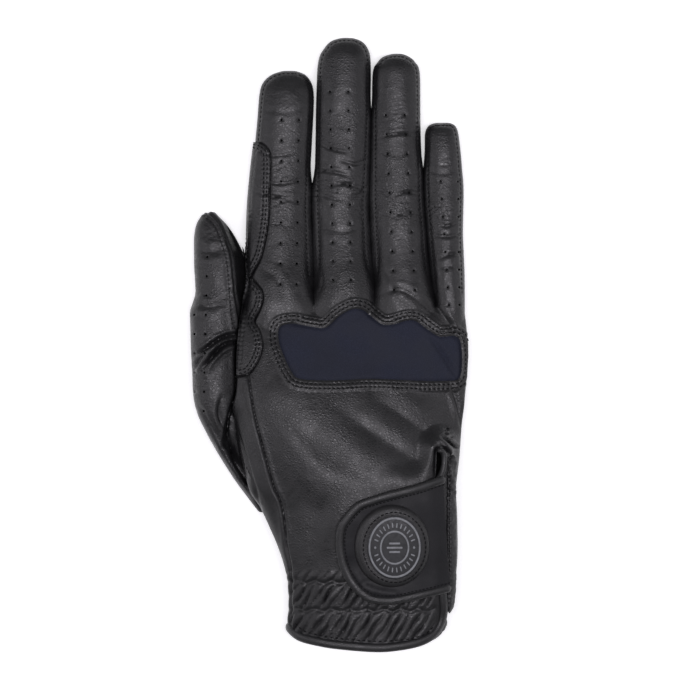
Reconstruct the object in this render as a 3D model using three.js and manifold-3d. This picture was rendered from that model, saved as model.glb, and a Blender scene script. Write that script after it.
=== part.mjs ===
// Right-hand horse riding glove in thin black leather, lying palm down with its fingers along +Y.
// Millimetres, +Z up. The origin is at the middle of the outline, on the surface the palm rests on.

import * as THREE from 'three';
import { mergeVertices } from 'three/addons/utils/BufferGeometryUtils.js';
import Module from 'manifold-3d';

const wasm = await Module();
wasm.setup();

// Leather and clearances

const leatherWall = 1.2;
const seamGap = 0.3;
const overlayThickness = 0.8;

// Hand and wrist

const handLength = 131.7;
const palmWidth = 86.8;
const handThickness = 26.5;
const handAxisX = 8.6;
const hemY = -117.9;
const hemDepth = 3;
const handSides = 26;
const handInnerSides = 20;
const handFullness = 0.78;

// Fingers

const indexLength = 103.7;
const indexWidth = 23;
const middleLength = 116.4;
const middleWidth = 20.7;
const ringLength = 110.2;
const ringWidth = 19.6;
const littleLength = 85.6;
const littleWidth = 14.6;
const thumbLength = 115.6;
const thumbWidth = 20;
const fingerThickness = 13.5;
const thumbThickness = 17;
const fingerSides = 10;
const fingerInnerSides = 8;
const fingerFullness = 0.86;

// Seams between the back and the palm

const seamHeight = 7.2;
const fourchetteWidth = 4.6;
const fourchetteTipMargin = 9;
const fourchetteRootReach = 9;

// Perforations

const perforationDiameter = 1.3;

// Gathered wrist

const gatherDepth = 29.2;
const gatherSides = 56;
const gatherHeight = 0.9;
const gatherSlant = 0.16;

// Wrist slit, strap and badge

const slitLength = 77.2;
const slitInset = 9.9;
const slitLean = 2.6;
const slitTopWidth = 2.4;
const slitHemWidth = 1.2;
const slitBindingWidth = 2.2;
const facingLength = 50;
const facingAboveHem = 22;
const strapLength = 42.7;
const strapWidth = 45;
const strapAboveHem = 45.5;
const strapPastSlit = 3.6;
const strapThickness = 1.5;
const strapBindingWidth = 2.6;
const strapBindingProud = 0.5;
const hookPadWidth = 24;
const hookPadHeight = 26;
const badgeFromStrapEnd = 20.6;
const badgeDrop = 4.8;
const badgeWidth = 19.8;
const badgeHeight = 23.2;
const badgePadBorder = 4.2;
const badgePadShift = 0.8;
const badgePadThickness = 1.9;
const badgeThickness = 1.1;
const badgeRim = 1;

// Knuckle panel and index-finger patch

const knuckleWidth = 70.2;
const knuckleHeight = 27.8;
const knuckleBelowFront = 17.4;
const patchWidth = 12.5;
const patchBelowTip = 27.3;
const patchBelowFront = 26.3;

// Colours and finishes

const leatherBlack = new THREE.MeshStandardMaterial({ color: '#26262b', roughness: 0.48, metalness: 0 });
const stretchNavy = new THREE.MeshStandardMaterial({ color: '#1f2333', roughness: 0.85, metalness: 0 });
const strapBlack = new THREE.MeshStandardMaterial({ color: '#1d1d21', roughness: 0.72, metalness: 0 });
const bindingBlack = new THREE.MeshStandardMaterial({ color: '#222226', roughness: 0.55, metalness: 0 });
const hookBlack = new THREE.MeshStandardMaterial({ color: '#151517', roughness: 0.95, metalness: 0 });
const badgeGrey = new THREE.MeshStandardMaterial({ color: '#3b3c42', roughness: 0.6, metalness: 0 });

// Section tables. Each row is one cross-section: along is a share of the length, left and right are
// shares of the width to each side of the axis, top and bottom are shares of the thickness.

const handSections = [
  { along: -0.026, left: 0.261, right: 0.381, top: 0.72, bottom: 0.04 },
  { along: 0.032, left: 0.268, right: 0.392, top: 0.75, bottom: 0.04 },
  { along: 0.149, left: 0.27, right: 0.456, top: 0.79, bottom: 0.04 },
  { along: 0.219, left: 0.279, right: 0.469, top: 0.81, bottom: 0.02 },
  { along: 0.3, left: 0.316, right: 0.476, top: 0.87, bottom: 0 },
  { along: 0.472, left: 0.456, right: 0.469, top: 0.98, bottom: 0 },
  { along: 0.557, left: 0.504, right: 0.482, top: 1, bottom: 0 },
  { along: 0.732, left: 0.498, right: 0.507, top: 0.98, bottom: 0 },
  { along: 0.892, left: 0.482, right: 0.521, top: 0.88, bottom: 0 },
  { along: 0.959, left: 0.472, right: 0.511, top: 0.8, bottom: 0 },
  { along: 1, left: 0.462, right: 0.504, top: 0.7, bottom: 0.02 },
];

const indexSections = [
  { along: 0, left: 0.54, right: 0.7, top: 1.5, bottom: 0.1 },
  { along: 0.111, left: 0.6, right: 0.64, top: 1.42, bottom: 0 },
  { along: 0.181, left: 0.625, right: 0.5, top: 1.3, bottom: 0 },
  { along: 0.281, left: 0.633, right: 0.445, top: 1.12, bottom: 0 },
  { along: 0.519, left: 0.583, right: 0.412, top: 1, bottom: 0 },
  { along: 0.667, left: 0.517, right: 0.445, top: 0.97, bottom: 0 },
  { along: 0.815, left: 0.45, right: 0.48, top: 0.95, bottom: 0 },
  { along: 0.952, left: 0.365, right: 0.46, top: 0.8, bottom: 0.02 },
  { along: 0.985, left: 0.22, right: 0.35, top: 0.66, bottom: 0.12 },
  { along: 1, left: 0.03, right: 0.19, top: 0.5, bottom: 0.26 },
];

const middleSections = [
  { along: 0, left: 0.64, right: 0.68, top: 1.6, bottom: 0.1 },
  { along: 0.099, left: 0.63, right: 0.667, top: 1.5, bottom: 0 },
  { along: 0.191, left: 0.5, right: 0.585, top: 1.28, bottom: 0 },
  { along: 0.264, left: 0.48, right: 0.5, top: 1.14, bottom: 0 },
  { along: 0.462, left: 0.51, right: 0.444, top: 1.02, bottom: 0 },
  { along: 0.627, left: 0.495, right: 0.495, top: 1, bottom: 0 },
  { along: 0.921, left: 0.44, right: 0.528, top: 0.9, bottom: 0 },
  { along: 0.964, left: 0.333, right: 0.475, top: 0.8, bottom: 0.02 },
  { along: 0.989, left: 0.204, right: 0.36, top: 0.66, bottom: 0.12 },
  { along: 1, left: 0.02, right: 0.2, top: 0.5, bottom: 0.26 },
];

const ringSections = [
  { along: 0, left: 0.62, right: 0.84, top: 1.5, bottom: 0.1 },
  { along: 0.129, left: 0.535, right: 0.74, top: 1.34, bottom: 0 },
  { along: 0.202, left: 0.464, right: 0.643, top: 1.2, bottom: 0 },
  { along: 0.279, left: 0.455, right: 0.582, top: 1.1, bottom: 0 },
  { along: 0.488, left: 0.504, right: 0.486, top: 1, bottom: 0 },
  { along: 0.627, left: 0.504, right: 0.465, top: 0.98, bottom: 0 },
  { along: 0.93, left: 0.495, right: 0.427, top: 0.88, bottom: 0 },
  { along: 0.972, left: 0.392, right: 0.33, top: 0.78, bottom: 0.02 },
  { along: 0.99, left: 0.29, right: 0.22, top: 0.66, bottom: 0.12 },
  { along: 1, left: 0.12, right: 0.09, top: 0.5, bottom: 0.26 },
];

const littleSections = [
  { along: 0, left: 0.4, right: 0.56, top: 1.3, bottom: 0.1 },
  { along: 0.188, left: 0.21, right: 0.575, top: 1.16, bottom: 0 },
  { along: 0.381, left: 0.345, right: 0.555, top: 1, bottom: 0 },
  { along: 0.516, left: 0.41, right: 0.53, top: 0.94, bottom: 0 },
  { along: 0.695, left: 0.475, right: 0.55, top: 0.92, bottom: 0 },
  { along: 0.901, left: 0.475, right: 0.447, top: 0.86, bottom: 0 },
  { along: 0.957, left: 0.46, right: 0.405, top: 0.79, bottom: 0.02 },
  { along: 0.987, left: 0.37, right: 0.33, top: 0.66, bottom: 0.12 },
  { along: 1, left: 0.2, right: 0.2, top: 0.5, bottom: 0.26 },
];

const thumbSections = [
  { along: 0, left: -0.84, right: 1.06, top: 0.62, bottom: 0.1 },
  { along: 0.08, left: -0.48, right: 0.94, top: 0.84, bottom: 0 },
  { along: 0.229, left: 0.05, right: 0.72, top: 1.05, bottom: 0 },
  { along: 0.309, left: 0.3, right: 0.6, top: 1.08, bottom: 0 },
  { along: 0.468, left: 0.442, right: 0.355, top: 1.05, bottom: 0 },
  { along: 0.558, left: 0.469, right: 0.36, top: 1.02, bottom: 0 },
  { along: 0.708, left: 0.5, right: 0.4, top: 0.98, bottom: 0 },
  { along: 0.827, left: 0.536, right: 0.43, top: 0.92, bottom: 0 },
  { along: 0.955, left: 0.5, right: 0.08, top: 0.72, bottom: 0.02 },
  { along: 0.987, left: 0.39, right: -0.09, top: 0.58, bottom: 0.12 },
  { along: 1, left: 0.24, right: -0.14, top: 0.46, bottom: 0.24 },
];

// Where each finger's axis lies across the palm, as a share of its width from the hand's axis, and how
// far behind the hand's front its root starts, as a share of the hand's length

const indexAxisShare = -0.2915;
const middleAxisShare = -0.0346;
const ringAxisShare = 0.2131;
const littleAxisShare = 0.4124;
const thumbAxisShare = -0.5968;
const fingerRootShare = 0.0934;
const littleRootShare = 0.1078;
const thumbRootShare = 0.5976;

const frontY = hemY + handLength;
const across = (share) => handAxisX + palmWidth * share;
const behindFront = (share) => frontY - handLength * share;

const fingers = {
  index: {
    x: across(indexAxisShare),
    y: behindFront(fingerRootShare),
    length: indexLength,
    width: indexWidth,
    sections: indexSections,
  },
  middle: {
    x: across(middleAxisShare),
    y: behindFront(fingerRootShare),
    length: middleLength,
    width: middleWidth,
    sections: middleSections,
  },
  ring: {
    x: across(ringAxisShare),
    y: behindFront(fingerRootShare),
    length: ringLength,
    width: ringWidth,
    sections: ringSections,
  },
  little: {
    x: across(littleAxisShare),
    y: behindFront(littleRootShare),
    length: littleLength,
    width: littleWidth,
    sections: littleSections,
  },
};
const thumb = {
  x: across(thumbAxisShare),
  y: behindFront(thumbRootShare),
  length: thumbLength,
  width: thumbWidth,
  sections: thumbSections,
};

// Places that follow from the sizes

const tipY = (finger) => finger.y + finger.length;
const gatherTopY = hemY + gatherDepth;
const slitTopY = hemY + slitLength;
const slitX = handAxisX + palmWidth / 2 - slitInset;
const facingTopY = hemY + facingAboveHem + facingLength;
const strapEndX = slitX + strapPastSlit;
const strapEndY = hemY + strapAboveHem;
const badgeX = strapEndX - badgeFromStrapEnd;
const badgeY = strapEndY - badgeDrop;
const knuckleX = handAxisX;
const knuckleY = frontY - knuckleBelowFront;
const patchX = fingers.index.x - indexWidth * 0.317;
const patchY = tipY(fingers.index) - patchBelowTip;
const patchLength = patchY - (frontY - patchBelowFront);

// Perforated rows: first and last are the places of the end rows as shares of the finger's length, and
// each column gives its place at the first row and at the last row as shares of the width from the axis

const perforatedFingers = [
  { finger: fingers.index, first: 0.207, last: 0.815, rows: 9, columns: [[-0.06, -0.04], [0.21, 0.25]] },
  { finger: fingers.middle, first: 0.198, last: 0.819, rows: 11, columns: [[-0.165, -0.225], [0.165, 0.116]] },
  { finger: fingers.ring, first: 0.174, last: 0.784, rows: 10, columns: [[-0.08, -0.24], [0.33, 0.13]] },
  { finger: fingers.little, first: 0.18, last: 0.734, rows: 8, columns: [[0.15, -0.065], [0.43, 0.4]] },
];
const perforatedThumb = {
  finger: thumb,
  first: 0.339,
  last: 0.85,
  rows: 9,
  columns: [[-0.385, -0.4], [-0.21, -0.145]],
};

// Outlines in plan, as shares of the size they belong to

const knuckleOutline = [
  { across: -0.5, up: 0.22 }, { across: -0.49, up: 0.3 }, { across: -0.42, up: 0.31 }, { across: -0.33, up: 0.27 },
  { across: -0.25, up: 0.24 }, { across: -0.2, up: 0.29 }, { across: -0.14, up: 0.44 }, { across: -0.09, up: 0.5 },
  { across: -0.04, up: 0.5 }, { across: 0.01, up: 0.42 }, { across: 0.07, up: 0.3 }, { across: 0.13, up: 0.29 },
  { across: 0.19, up: 0.34 }, { across: 0.25, up: 0.34 }, { across: 0.31, up: 0.23 }, { across: 0.36, up: 0.13 },
  { across: 0.41, up: 0.12 }, { across: 0.46, up: 0.13 }, { across: 0.49, up: 0.06 }, { across: 0.5, up: -0.14 },
  { across: 0.495, up: -0.38 }, { across: 0.47, up: -0.46 }, { across: 0.3, up: -0.49 }, { across: 0.02, up: -0.47 },
  { across: -0.2, up: -0.49 }, { across: -0.38, up: -0.47 }, { across: -0.44, up: -0.36 }, { across: -0.48, up: -0.16 },
];

const patchOutline = [
  { across: -0.9, up: 0 }, { across: -0.35, up: 0 }, { across: -0.11, up: -0.012 }, { across: 0.14, up: -0.062 },
  { across: 0.14, up: -0.17 }, { across: 0.08, up: -0.34 }, { across: -0.11, up: -0.482 },
  { across: -0.38, up: -0.558 }, { across: -0.45, up: -0.582 }, { across: -0.22, up: -0.625 },
  { across: -0.07, up: -0.667 }, { across: -0.18, up: -0.72 }, { across: -0.33, up: -0.764 },
  { across: -0.17, up: -0.81 }, { across: -0.1, up: -0.86 }, { across: -0.13, up: -0.9 },
  { across: -0.33, up: -0.96 }, { across: -0.52, up: -0.99 }, { across: -0.8, up: -1 }, { across: -1.6, up: -1 },
  { across: -1.6, up: -0.6 }, { across: -1, up: -0.4 },
];

const strapOutline = [
  { across: -0.037, up: 0.5 }, { across: -0.3, up: 0.418 }, { across: -0.55, up: 0.358 },
  { across: -0.803, up: 0.278 }, { across: -0.93, up: 0.153 }, { across: -0.995, up: 0.047 },
  { across: -1, up: -0.107 }, { across: -0.965, up: -0.284 }, { across: -0.902, up: -0.422 },
  { across: -0.803, up: -0.524 }, { across: -0.677, up: -0.589 }, { across: -0.487, up: -0.602 },
  { across: -0.237, up: -0.551 }, { across: 0.033, up: -0.498 }, { across: -0.007, up: 0.193 },
];

const hemOutline = [
  { across: -0.33, up: 0.056 }, { across: -0.27, up: 0.044 }, { across: -0.22, up: 0.035 },
  { across: -0.06, up: 0.011 }, { across: 0.11, up: 0 }, { across: 0.29, up: 0.011 }, { across: 0.36, up: 0.03 },
  { across: 0.4, up: 0.06 }, { across: 0.43, up: 0.1 }, { across: 0.46, up: 0.14 },
];

// The line where the leather of the back meets the palm leather that wraps round below the thumb

const wrapSeam = [
  { across: -0.47, along: 0.81 }, { across: -0.42, along: 0.69 }, { across: -0.385, along: 0.605 },
  { across: -0.34, along: 0.49 }, { across: -0.295, along: 0.41 }, { across: -0.245, along: 0.24 },
  { across: -0.245, along: -0.1 },
];

// The seam that joins the thumb to the palm leather

const thumbSeam = [
  { across: -0.46, along: 1.45 }, { across: -0.475, along: 0.96 }, { across: -0.498, along: 0.88 },
  { across: -0.508, along: 0.8 }, { across: -0.518, along: 0.73 }, { across: -0.512, along: 0.7 },
  { across: -0.48, along: 0.6 }, { across: -0.442, along: 0.53 }, { across: -0.39, along: 0.4 },
  { across: -0.385, along: 0.34 },
];

// The ridge seam along the thumb, as shares of the thumb's width and length

const thumbRidge = [
  { across: 0.02, along: 1.1 }, { across: -0.2, along: 1 }, { across: -0.08, along: 0.963 },
  { across: 0.13, along: 0.9 }, { across: 0.28, along: 0.82 }, { across: 0.33, along: 0.7 },
  { across: 0.34, along: 0.6 }, { across: 0.3, along: 0.5 }, { across: 0.34, along: 0.4 },
  { across: 0.6, along: 0.25 }, { across: 0.9, along: 0.1 }, { across: 1.1, along: -0.1 },
];

// Closed meshes and booleans

function toSolid(geometry) {
  const bare = geometry.index ? geometry.toNonIndexed() : geometry.clone();
  for (const name of Object.keys(bare.attributes)) {
    if (name !== 'position') bare.deleteAttribute(name);
  }
  const merged = mergeVertices(bare, 1e-4);
  const triangles = [];
  for (let i = 0; i < merged.index.count; i += 3) {
    const corner = [merged.index.getX(i), merged.index.getX(i + 1), merged.index.getX(i + 2)];
    if (new Set(corner).size === 3) triangles.push(...corner);
  }
  return new wasm.Manifold(new wasm.Mesh({
    numProp: 3,
    vertProperties: Float32Array.from(merged.attributes.position.array),
    triVerts: Uint32Array.from(triangles),
  }));
}

function toMesh(name, solid, material) {
  const result = solid.getMesh();
  const geometry = new THREE.BufferGeometry();
  geometry.setAttribute('position', new THREE.BufferAttribute(Float32Array.from(result.vertProperties), 3));
  geometry.setIndex(Array.from(result.triVerts));
  geometry.computeVertexNormals();
  const mesh = new THREE.Mesh(geometry, material);
  mesh.name = name;
  return mesh;
}

function unite(solids) {
  return solids.reduce((whole, solid) => whole.add(solid));
}

function cutAway(solid, cutters) {
  return cutters.reduce((rest, cutter) => rest.subtract(cutter), solid);
}

// Lofted skins. The cylinder's own rings become the cross-sections, and offset moves the whole skin out.

function loft(sections, sides, shape) {
  const last = sections.length - 1;
  const geometry = new THREE.CylinderGeometry(1, 1, 1, sides, last);
  const position = geometry.attributes.position;
  for (let i = 0; i < position.count; i += 1) {
    const ring = Math.round((position.getY(i) + 0.5) * last);
    const radius = Math.hypot(position.getX(i), position.getZ(i));
    const turn = Math.atan2(position.getX(i), position.getZ(i));
    const point = shape(sections[ring], turn, Math.min(1, radius), ring);
    position.setXYZ(i, point.x, point.y, point.z);
  }
  return toSolid(geometry);
}

function sectionPoint(size, row, turn, radius, offset) {
  const left = row.left * size.width + offset;
  const right = row.right * size.width + offset;
  const top = row.top * size.thickness + offset;
  const bottom = row.bottom * size.thickness - offset;
  const middle = bottom + (top - bottom) * 0.45;
  const side = Math.sin(turn);
  const rise = Math.cos(turn);
  const halfWidth = (left + right) / 2;
  const sideReach = Math.sign(side) * Math.abs(side) ** size.fullness * halfWidth;
  const riseReach = Math.sign(rise) * Math.abs(rise) ** size.fullness;
  const depth = rise > 0 ? top - middle : (middle - bottom) * 1.3;
  return {
    x: size.x + (right - left) / 2 + sideReach * radius,
    y: size.y + row.along * (size.length + offset),
    z: Math.max(bottom, middle + riseReach * depth * radius),
  };
}

function fingerSkin(finger, offset, sides = fingerSides) {
  const thickness = finger === thumb ? thumbThickness : fingerThickness;
  const size = { ...finger, thickness, fullness: fingerFullness };
  return loft(finger.sections, sides, (row, turn, radius) => sectionPoint(size, row, turn, radius, offset));
}

const handSize = {
  x: handAxisX,
  y: hemY,
  length: handLength,
  width: palmWidth,
  thickness: handThickness,
  fullness: handFullness,
};

function handSkin(offset, sides = handSides) {
  return loft(handSections, sides, (row, turn, radius) => sectionPoint(handSize, row, turn, radius, offset));
}

function gloveSkin(offset, sidesOfHand = handSides, sidesOfFinger = fingerSides) {
  const tubes = [handSkin(offset, sidesOfHand), fingerSkin(thumb, offset, sidesOfFinger)];
  for (const finger of Object.values(fingers)) tubes.push(fingerSkin(finger, offset, sidesOfFinger));
  return unite(tubes);
}

// Prisms that stand on an outline in plan

function prism(points, low, high) {
  const shape = new THREE.Shape(points.map((point) => new THREE.Vector2(point.x, point.y)));
  const geometry = new THREE.ExtrudeGeometry(shape, { depth: high - low, bevelEnabled: false });
  geometry.translate(0, 0, low);
  return toSolid(geometry);
}

function grow(points, distance) {
  const area = THREE.ShapeUtils.area(points);
  const sign = area > 0 ? 1 : -1;
  return points.map((point, i) => {
    const before = points[(i + points.length - 1) % points.length];
    const after = points[(i + 1) % points.length];
    const first = new THREE.Vector2(point.y - before.y, before.x - point.x).normalize();
    const second = new THREE.Vector2(after.y - point.y, point.x - after.x).normalize();
    const mean = first.clone().add(second).normalize();
    const reach = distance / Math.max(0.5, mean.dot(first));
    return new THREE.Vector2(point.x + mean.x * reach * sign, point.y + mean.y * reach * sign);
  });
}

function placeOutline(rows, x, y, width, height) {
  return rows.map((row) => new THREE.Vector2(x + row.across * width, y + row.up * height));
}

function placeSeam(rows, x, y, width, length) {
  return rows.map((row) => new THREE.Vector2(x + row.across * width, y + row.along * length));
}

function ellipse(x, y, width, height, sides) {
  const points = [];
  for (let i = 0; i < sides; i += 1) {
    const turn = (i / sides) * Math.PI * 2;
    points.push(new THREE.Vector2(x + Math.cos(turn) * width / 2, y + Math.sin(turn) * height / 2));
  }
  return points;
}

// Skins of the glove: outside, inside, and the shell of leather between them

const floorZ = 0;
const ceilingZ = handThickness * 2;
const farLeft = handAxisX - palmWidth;
const farRight = handAxisX + palmWidth;
const outside = gloveSkin(0);
const inside = gloveSkin(-leatherWall, handInnerSides, fingerInnerSides);
const shell = outside.subtract(inside);

// Hem: everything below its curved line is cut off, and the binding takes the last few millimetres

const hemCurve = hemOutline.map((row) => new THREE.Vector2(
  handAxisX + row.across * palmWidth,
  hemY + row.up * handLength,
));
const hemEnds = [
  new THREE.Vector2(farRight, hemCurve[hemCurve.length - 1].y + handLength * 0.05),
  new THREE.Vector2(farRight, hemY - handLength * 0.2),
  new THREE.Vector2(farLeft, hemY - handLength * 0.2),
  new THREE.Vector2(farLeft, hemCurve[0].y),
];
const belowHem = [...hemCurve, ...hemEnds];
const belowHemCut = prism(belowHem, -handThickness, ceilingZ);
const bindingEdge = hemCurve.map((point) => new THREE.Vector2(point.x, point.y + hemDepth));
const belowBinding = [...bindingEdge, ...hemEnds];
const belowBindingCut = prism(belowBinding, -handThickness, ceilingZ);
const aboveBindingCut = prism(grow(belowBinding, seamGap), -handThickness, ceilingZ);

// Slit in the back at the little-finger side of the wrist

const slitHemY = hemY - hemDepth;
const slitOutline = [
  { x: slitX - slitTopWidth / 2, y: slitTopY - slitTopWidth / 2 },
  { x: slitX + slitLean - slitHemWidth / 2, y: slitHemY },
  { x: slitX + slitLean + slitHemWidth / 2, y: slitHemY },
  { x: slitX + slitTopWidth / 2, y: slitTopY - slitTopWidth / 2 },
  { x: slitX + slitTopWidth * 0.3, y: slitTopY },
  { x: slitX - slitTopWidth * 0.3, y: slitTopY },
].map((point) => new THREE.Vector2(point.x, point.y));
const slitCut = prism(slitOutline, handThickness * 0.45, ceilingZ);

// Regions of the pieces

const indexAxis = fingers.index.x;
const middleAxis = fingers.middle.x;
const ringAxis = fingers.ring.x;
const littleAxis = fingers.little.x;

function fourchetteRegion(first, second, extra) {
  const low = Math.max(first.y, second.y) + fourchetteRootReach - extra;
  const high = Math.min(tipY(first), tipY(second)) - fourchetteTipMargin + extra;
  const outline = [
    new THREE.Vector2(first.x - extra, low),
    new THREE.Vector2(second.x + extra, low),
    new THREE.Vector2(second.x + extra, high),
    new THREE.Vector2(first.x - extra, high),
  ];
  const middle = seamHeight - fourchetteWidth * 0.3;
  return prism(outline, middle - fourchetteWidth / 2 - extra, middle + fourchetteWidth / 2 + extra);
}

const fingerPairs = [
  { name: 'fourchette_index_middle', first: fingers.index, second: fingers.middle },
  { name: 'fourchette_middle_ring', first: fingers.middle, second: fingers.ring },
  { name: 'fourchette_ring_little', first: fingers.ring, second: fingers.little },
];

const wrapLine = placeSeam(wrapSeam, handAxisX, hemY, palmWidth, handLength);
const backOutline = [
  ...wrapLine,
  new THREE.Vector2(farRight, hemY - handLength * 0.1),
  new THREE.Vector2(farRight, tipY(fingers.middle) + fingerThickness),
  new THREE.Vector2(farLeft, tipY(fingers.middle) + fingerThickness),
  new THREE.Vector2(farLeft, wrapLine[0].y),
];
const thumbLine = placeSeam(thumbSeam, handAxisX, hemY, palmWidth, handLength);
const thumbOutline = [
  ...thumbLine,
  new THREE.Vector2(farLeft, thumbLine[thumbLine.length - 1].y),
  new THREE.Vector2(farLeft, thumbLine[0].y),
];
const ridgeLine = placeSeam(thumbRidge, thumb.x, thumb.y, thumbWidth, thumbLength);
const ridgeOutline = [
  ...ridgeLine,
  new THREE.Vector2(farLeft, ridgeLine[ridgeLine.length - 1].y),
  new THREE.Vector2(farLeft, ridgeLine[0].y),
];

const backRegion = prism(backOutline, seamHeight + seamGap / 2, ceilingZ);
const backClearance = prism(grow(backOutline, seamGap), seamHeight - seamGap / 2, ceilingZ);
const thumbRegion = prism(thumbOutline, -handThickness, ceilingZ);
const thumbClearance = prism(grow(thumbOutline, seamGap), -handThickness, ceilingZ);
const wristOutline = [
  new THREE.Vector2(farLeft, gatherTopY),
  new THREE.Vector2(farLeft, hemY - handLength),
  new THREE.Vector2(farRight, hemY - handLength),
  new THREE.Vector2(farRight, gatherTopY),
];
const wristRegion = prism(wristOutline, -handThickness, ceilingZ);
const wristClearance = prism(grow(wristOutline, seamGap), -handThickness, ceilingZ);

// Perforations: short pins from inside the cavity up through the back

function pins(entry, baseHeight) {
  const found = [];
  const { finger } = entry;
  for (let row = 0; row < entry.rows; row += 1) {
    const share = row / (entry.rows - 1);
    const y = finger.y + THREE.MathUtils.lerp(entry.first, entry.last, share) * finger.length;
    for (const [atFirst, atLast] of entry.columns) {
      const x = finger.x + THREE.MathUtils.lerp(atFirst, atLast, share) * finger.width;
      const pin = new THREE.CylinderGeometry(perforationDiameter / 2, perforationDiameter / 2, ceilingZ, 4);
      pin.rotateX(Math.PI / 2);
      pin.translate(x, y, baseHeight + ceilingZ / 2);
      found.push(toSolid(pin));
    }
  }
  return found;
}

const fingerPins = perforatedFingers.flatMap((entry) => pins(entry, fingerThickness * 0.6));
const thumbPins = pins(perforatedThumb, thumbThickness * 0.6);

// Leather of the back, the palm, the finger sides and the thumb

const knucklePoints = placeOutline(knuckleOutline, knuckleX, knuckleY, knuckleWidth, knuckleHeight);
const knuckleHole = prism(knucklePoints, seamHeight, ceilingZ);
const fourchetteSpaces = fingerPairs.map((pair) => fourchetteRegion(pair.first, pair.second, seamGap));

const handBack = cutAway(shell.intersect(backRegion), [
  thumbClearance,
  wristClearance,
  ...fourchetteSpaces,
  knuckleHole,
  slitCut,
  ...fingerPins,
]);
const palm = cutAway(shell, [backClearance, thumbClearance, wristClearance, ...fourchetteSpaces]);
const fourchettes = fingerPairs.map((pair) => shell.intersect(fourchetteRegion(pair.first, pair.second, 0)));
const thumbShell = shell.intersect(thumbRegion);
const thumbBackRegion = prism(ridgeOutline, thumbThickness * 0.4 + seamGap, ceilingZ);
const thumbBackClearance = prism(grow(ridgeOutline, seamGap), thumbThickness * 0.4, ceilingZ);
const thumbBack = cutAway(thumbShell.intersect(thumbBackRegion), thumbPins);
const thumbFront = thumbShell.subtract(thumbBackClearance);

// Stretch panel over the knuckles, a little below the leather round it

const knuckleTop = gloveSkin(-0.25 * leatherWall);
const knucklePanel = knuckleTop
  .subtract(gloveSkin(-0.95 * leatherWall))
  .intersect(prism(grow(knucklePoints, -seamGap), seamHeight, ceilingZ));

// Gathered wrist: pleats that slant to the right as they rise, held down by two rows of elastic

const gatherRows = [
  { along: -0.04, pleat: 0 },
  { along: 0.038, pleat: 0.5 },
  { along: 0.07, pleat: 1 },
  { along: 0.098, pleat: 0.25 },
  { along: 0.15, pleat: 1 },
  { along: 0.2, pleat: 0.3 },
  { along: 0.24, pleat: 0 },
];

function handRowAt(along) {
  const upper = Math.max(1, handSections.findIndex((row) => row.along >= along));
  const a = handSections[upper - 1];
  const b = handSections[upper];
  const share = (along - a.along) / (b.along - a.along);
  return {
    along,
    left: THREE.MathUtils.lerp(a.left, b.left, share),
    right: THREE.MathUtils.lerp(a.right, b.right, share),
    top: THREE.MathUtils.lerp(a.top, b.top, share),
    bottom: THREE.MathUtils.lerp(a.bottom, b.bottom, share),
  };
}

const gatherSkin = loft(gatherRows, gatherSides, (row, turn, radius, ring) => {
  const lean = gatherSlant * (ring - gatherRows.length / 2) * Math.max(0, Math.cos(turn));
  const step = Math.round((turn / (Math.PI * 2)) * gatherSides);
  const crest = Math.abs(step % 2) === 1 ? 1 : 0;
  const upper = THREE.MathUtils.smoothstep(Math.cos(turn), -0.2, 0.3);
  const flat = sectionPoint(handSize, handRowAt(row.along), turn + lean * 0.25, radius, 0);
  const nearSlit = THREE.MathUtils.smoothstep(flat.x, slitX - 7, slitX - 3.5);
  const swell = crest * row.pleat * upper * gatherHeight * (1 - nearSlit);
  return sectionPoint(handSize, handRowAt(row.along), turn + lean * 0.25, radius, swell);
});
const wristGather = cutAway(gatherSkin.intersect(wristRegion), [inside, aboveBindingCut, slitCut]);

// Bound hem: a rolled strip that wraps the edge inside and out

const hemBinding = cutAway(
  handSkin(0.04 * handThickness).subtract(handSkin(-leatherWall - overlayThickness)).intersect(belowBindingCut),
  [belowHemCut, slitCut],
);


// Reinforcement over the index finger's thumb side and the hand below it

const patchPoints = placeOutline(patchOutline, patchX, patchY, patchWidth, patchLength);
const patchSkin = (offset) => handSkin(offset).add(fingerSkin(fingers.index, offset));
const indexPatch = patchSkin(seamGap + overlayThickness)
  .subtract(gloveSkin(seamGap))
  .intersect(prism(patchPoints, seamHeight * 0.6, ceilingZ));

// The stitched facing that the strap is sewn to, and the binding round the slit

const besideSlit = (low) => [
  new THREE.Vector2(slitX + slitTopWidth / 2 + seamGap, facingTopY),
  new THREE.Vector2(slitX + slitLean + slitHemWidth / 2 + seamGap, low),
  new THREE.Vector2(farRight, low),
  new THREE.Vector2(farRight, facingTopY),
];
const facingOutline = besideSlit(hemY + facingAboveHem);
const overlayRing = handSkin(seamGap + overlayThickness).subtract(handSkin(seamGap));
const slitFacing = overlayRing
  .intersect(prism(facingOutline, seamHeight + overlayThickness, ceilingZ))
  .subtract(slitCut);
const slitBinding = cutAway(
  overlayRing.intersect(prism(grow(slitOutline, slitBindingWidth), handThickness * 0.45, ceilingZ)),
  [slitCut, prism(grow(besideSlit(hemY - handLength), seamGap), 0, ceilingZ), aboveBindingCut],
);

// Strap with its bound edge, the hook pad under its free end, and the badge on its padded seat

const badgeSides = 16;
const strapPoints = placeOutline(strapOutline, strapEndX, strapEndY, strapLength, strapWidth);
const strapLift = seamGap + overlayThickness + seamGap;
const strapTop = strapLift + strapThickness;
const strapInner = grow(strapPoints, -strapBindingWidth);
const strap = handSkin(strapTop)
  .subtract(handSkin(strapLift))
  .intersect(prism(grow(strapInner, -seamGap), seamHeight, ceilingZ));
const strapBinding = handSkin(strapTop + strapBindingProud)
  .subtract(handSkin(strapLift))
  .intersect(prism(strapPoints, seamHeight, ceilingZ))
  .subtract(prism(strapInner, seamHeight, ceilingZ));
const hookPad = overlayRing
  .intersect(prism(ellipse(badgeX, strapEndY, hookPadWidth, hookPadHeight, badgeSides), seamHeight, ceilingZ));

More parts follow.
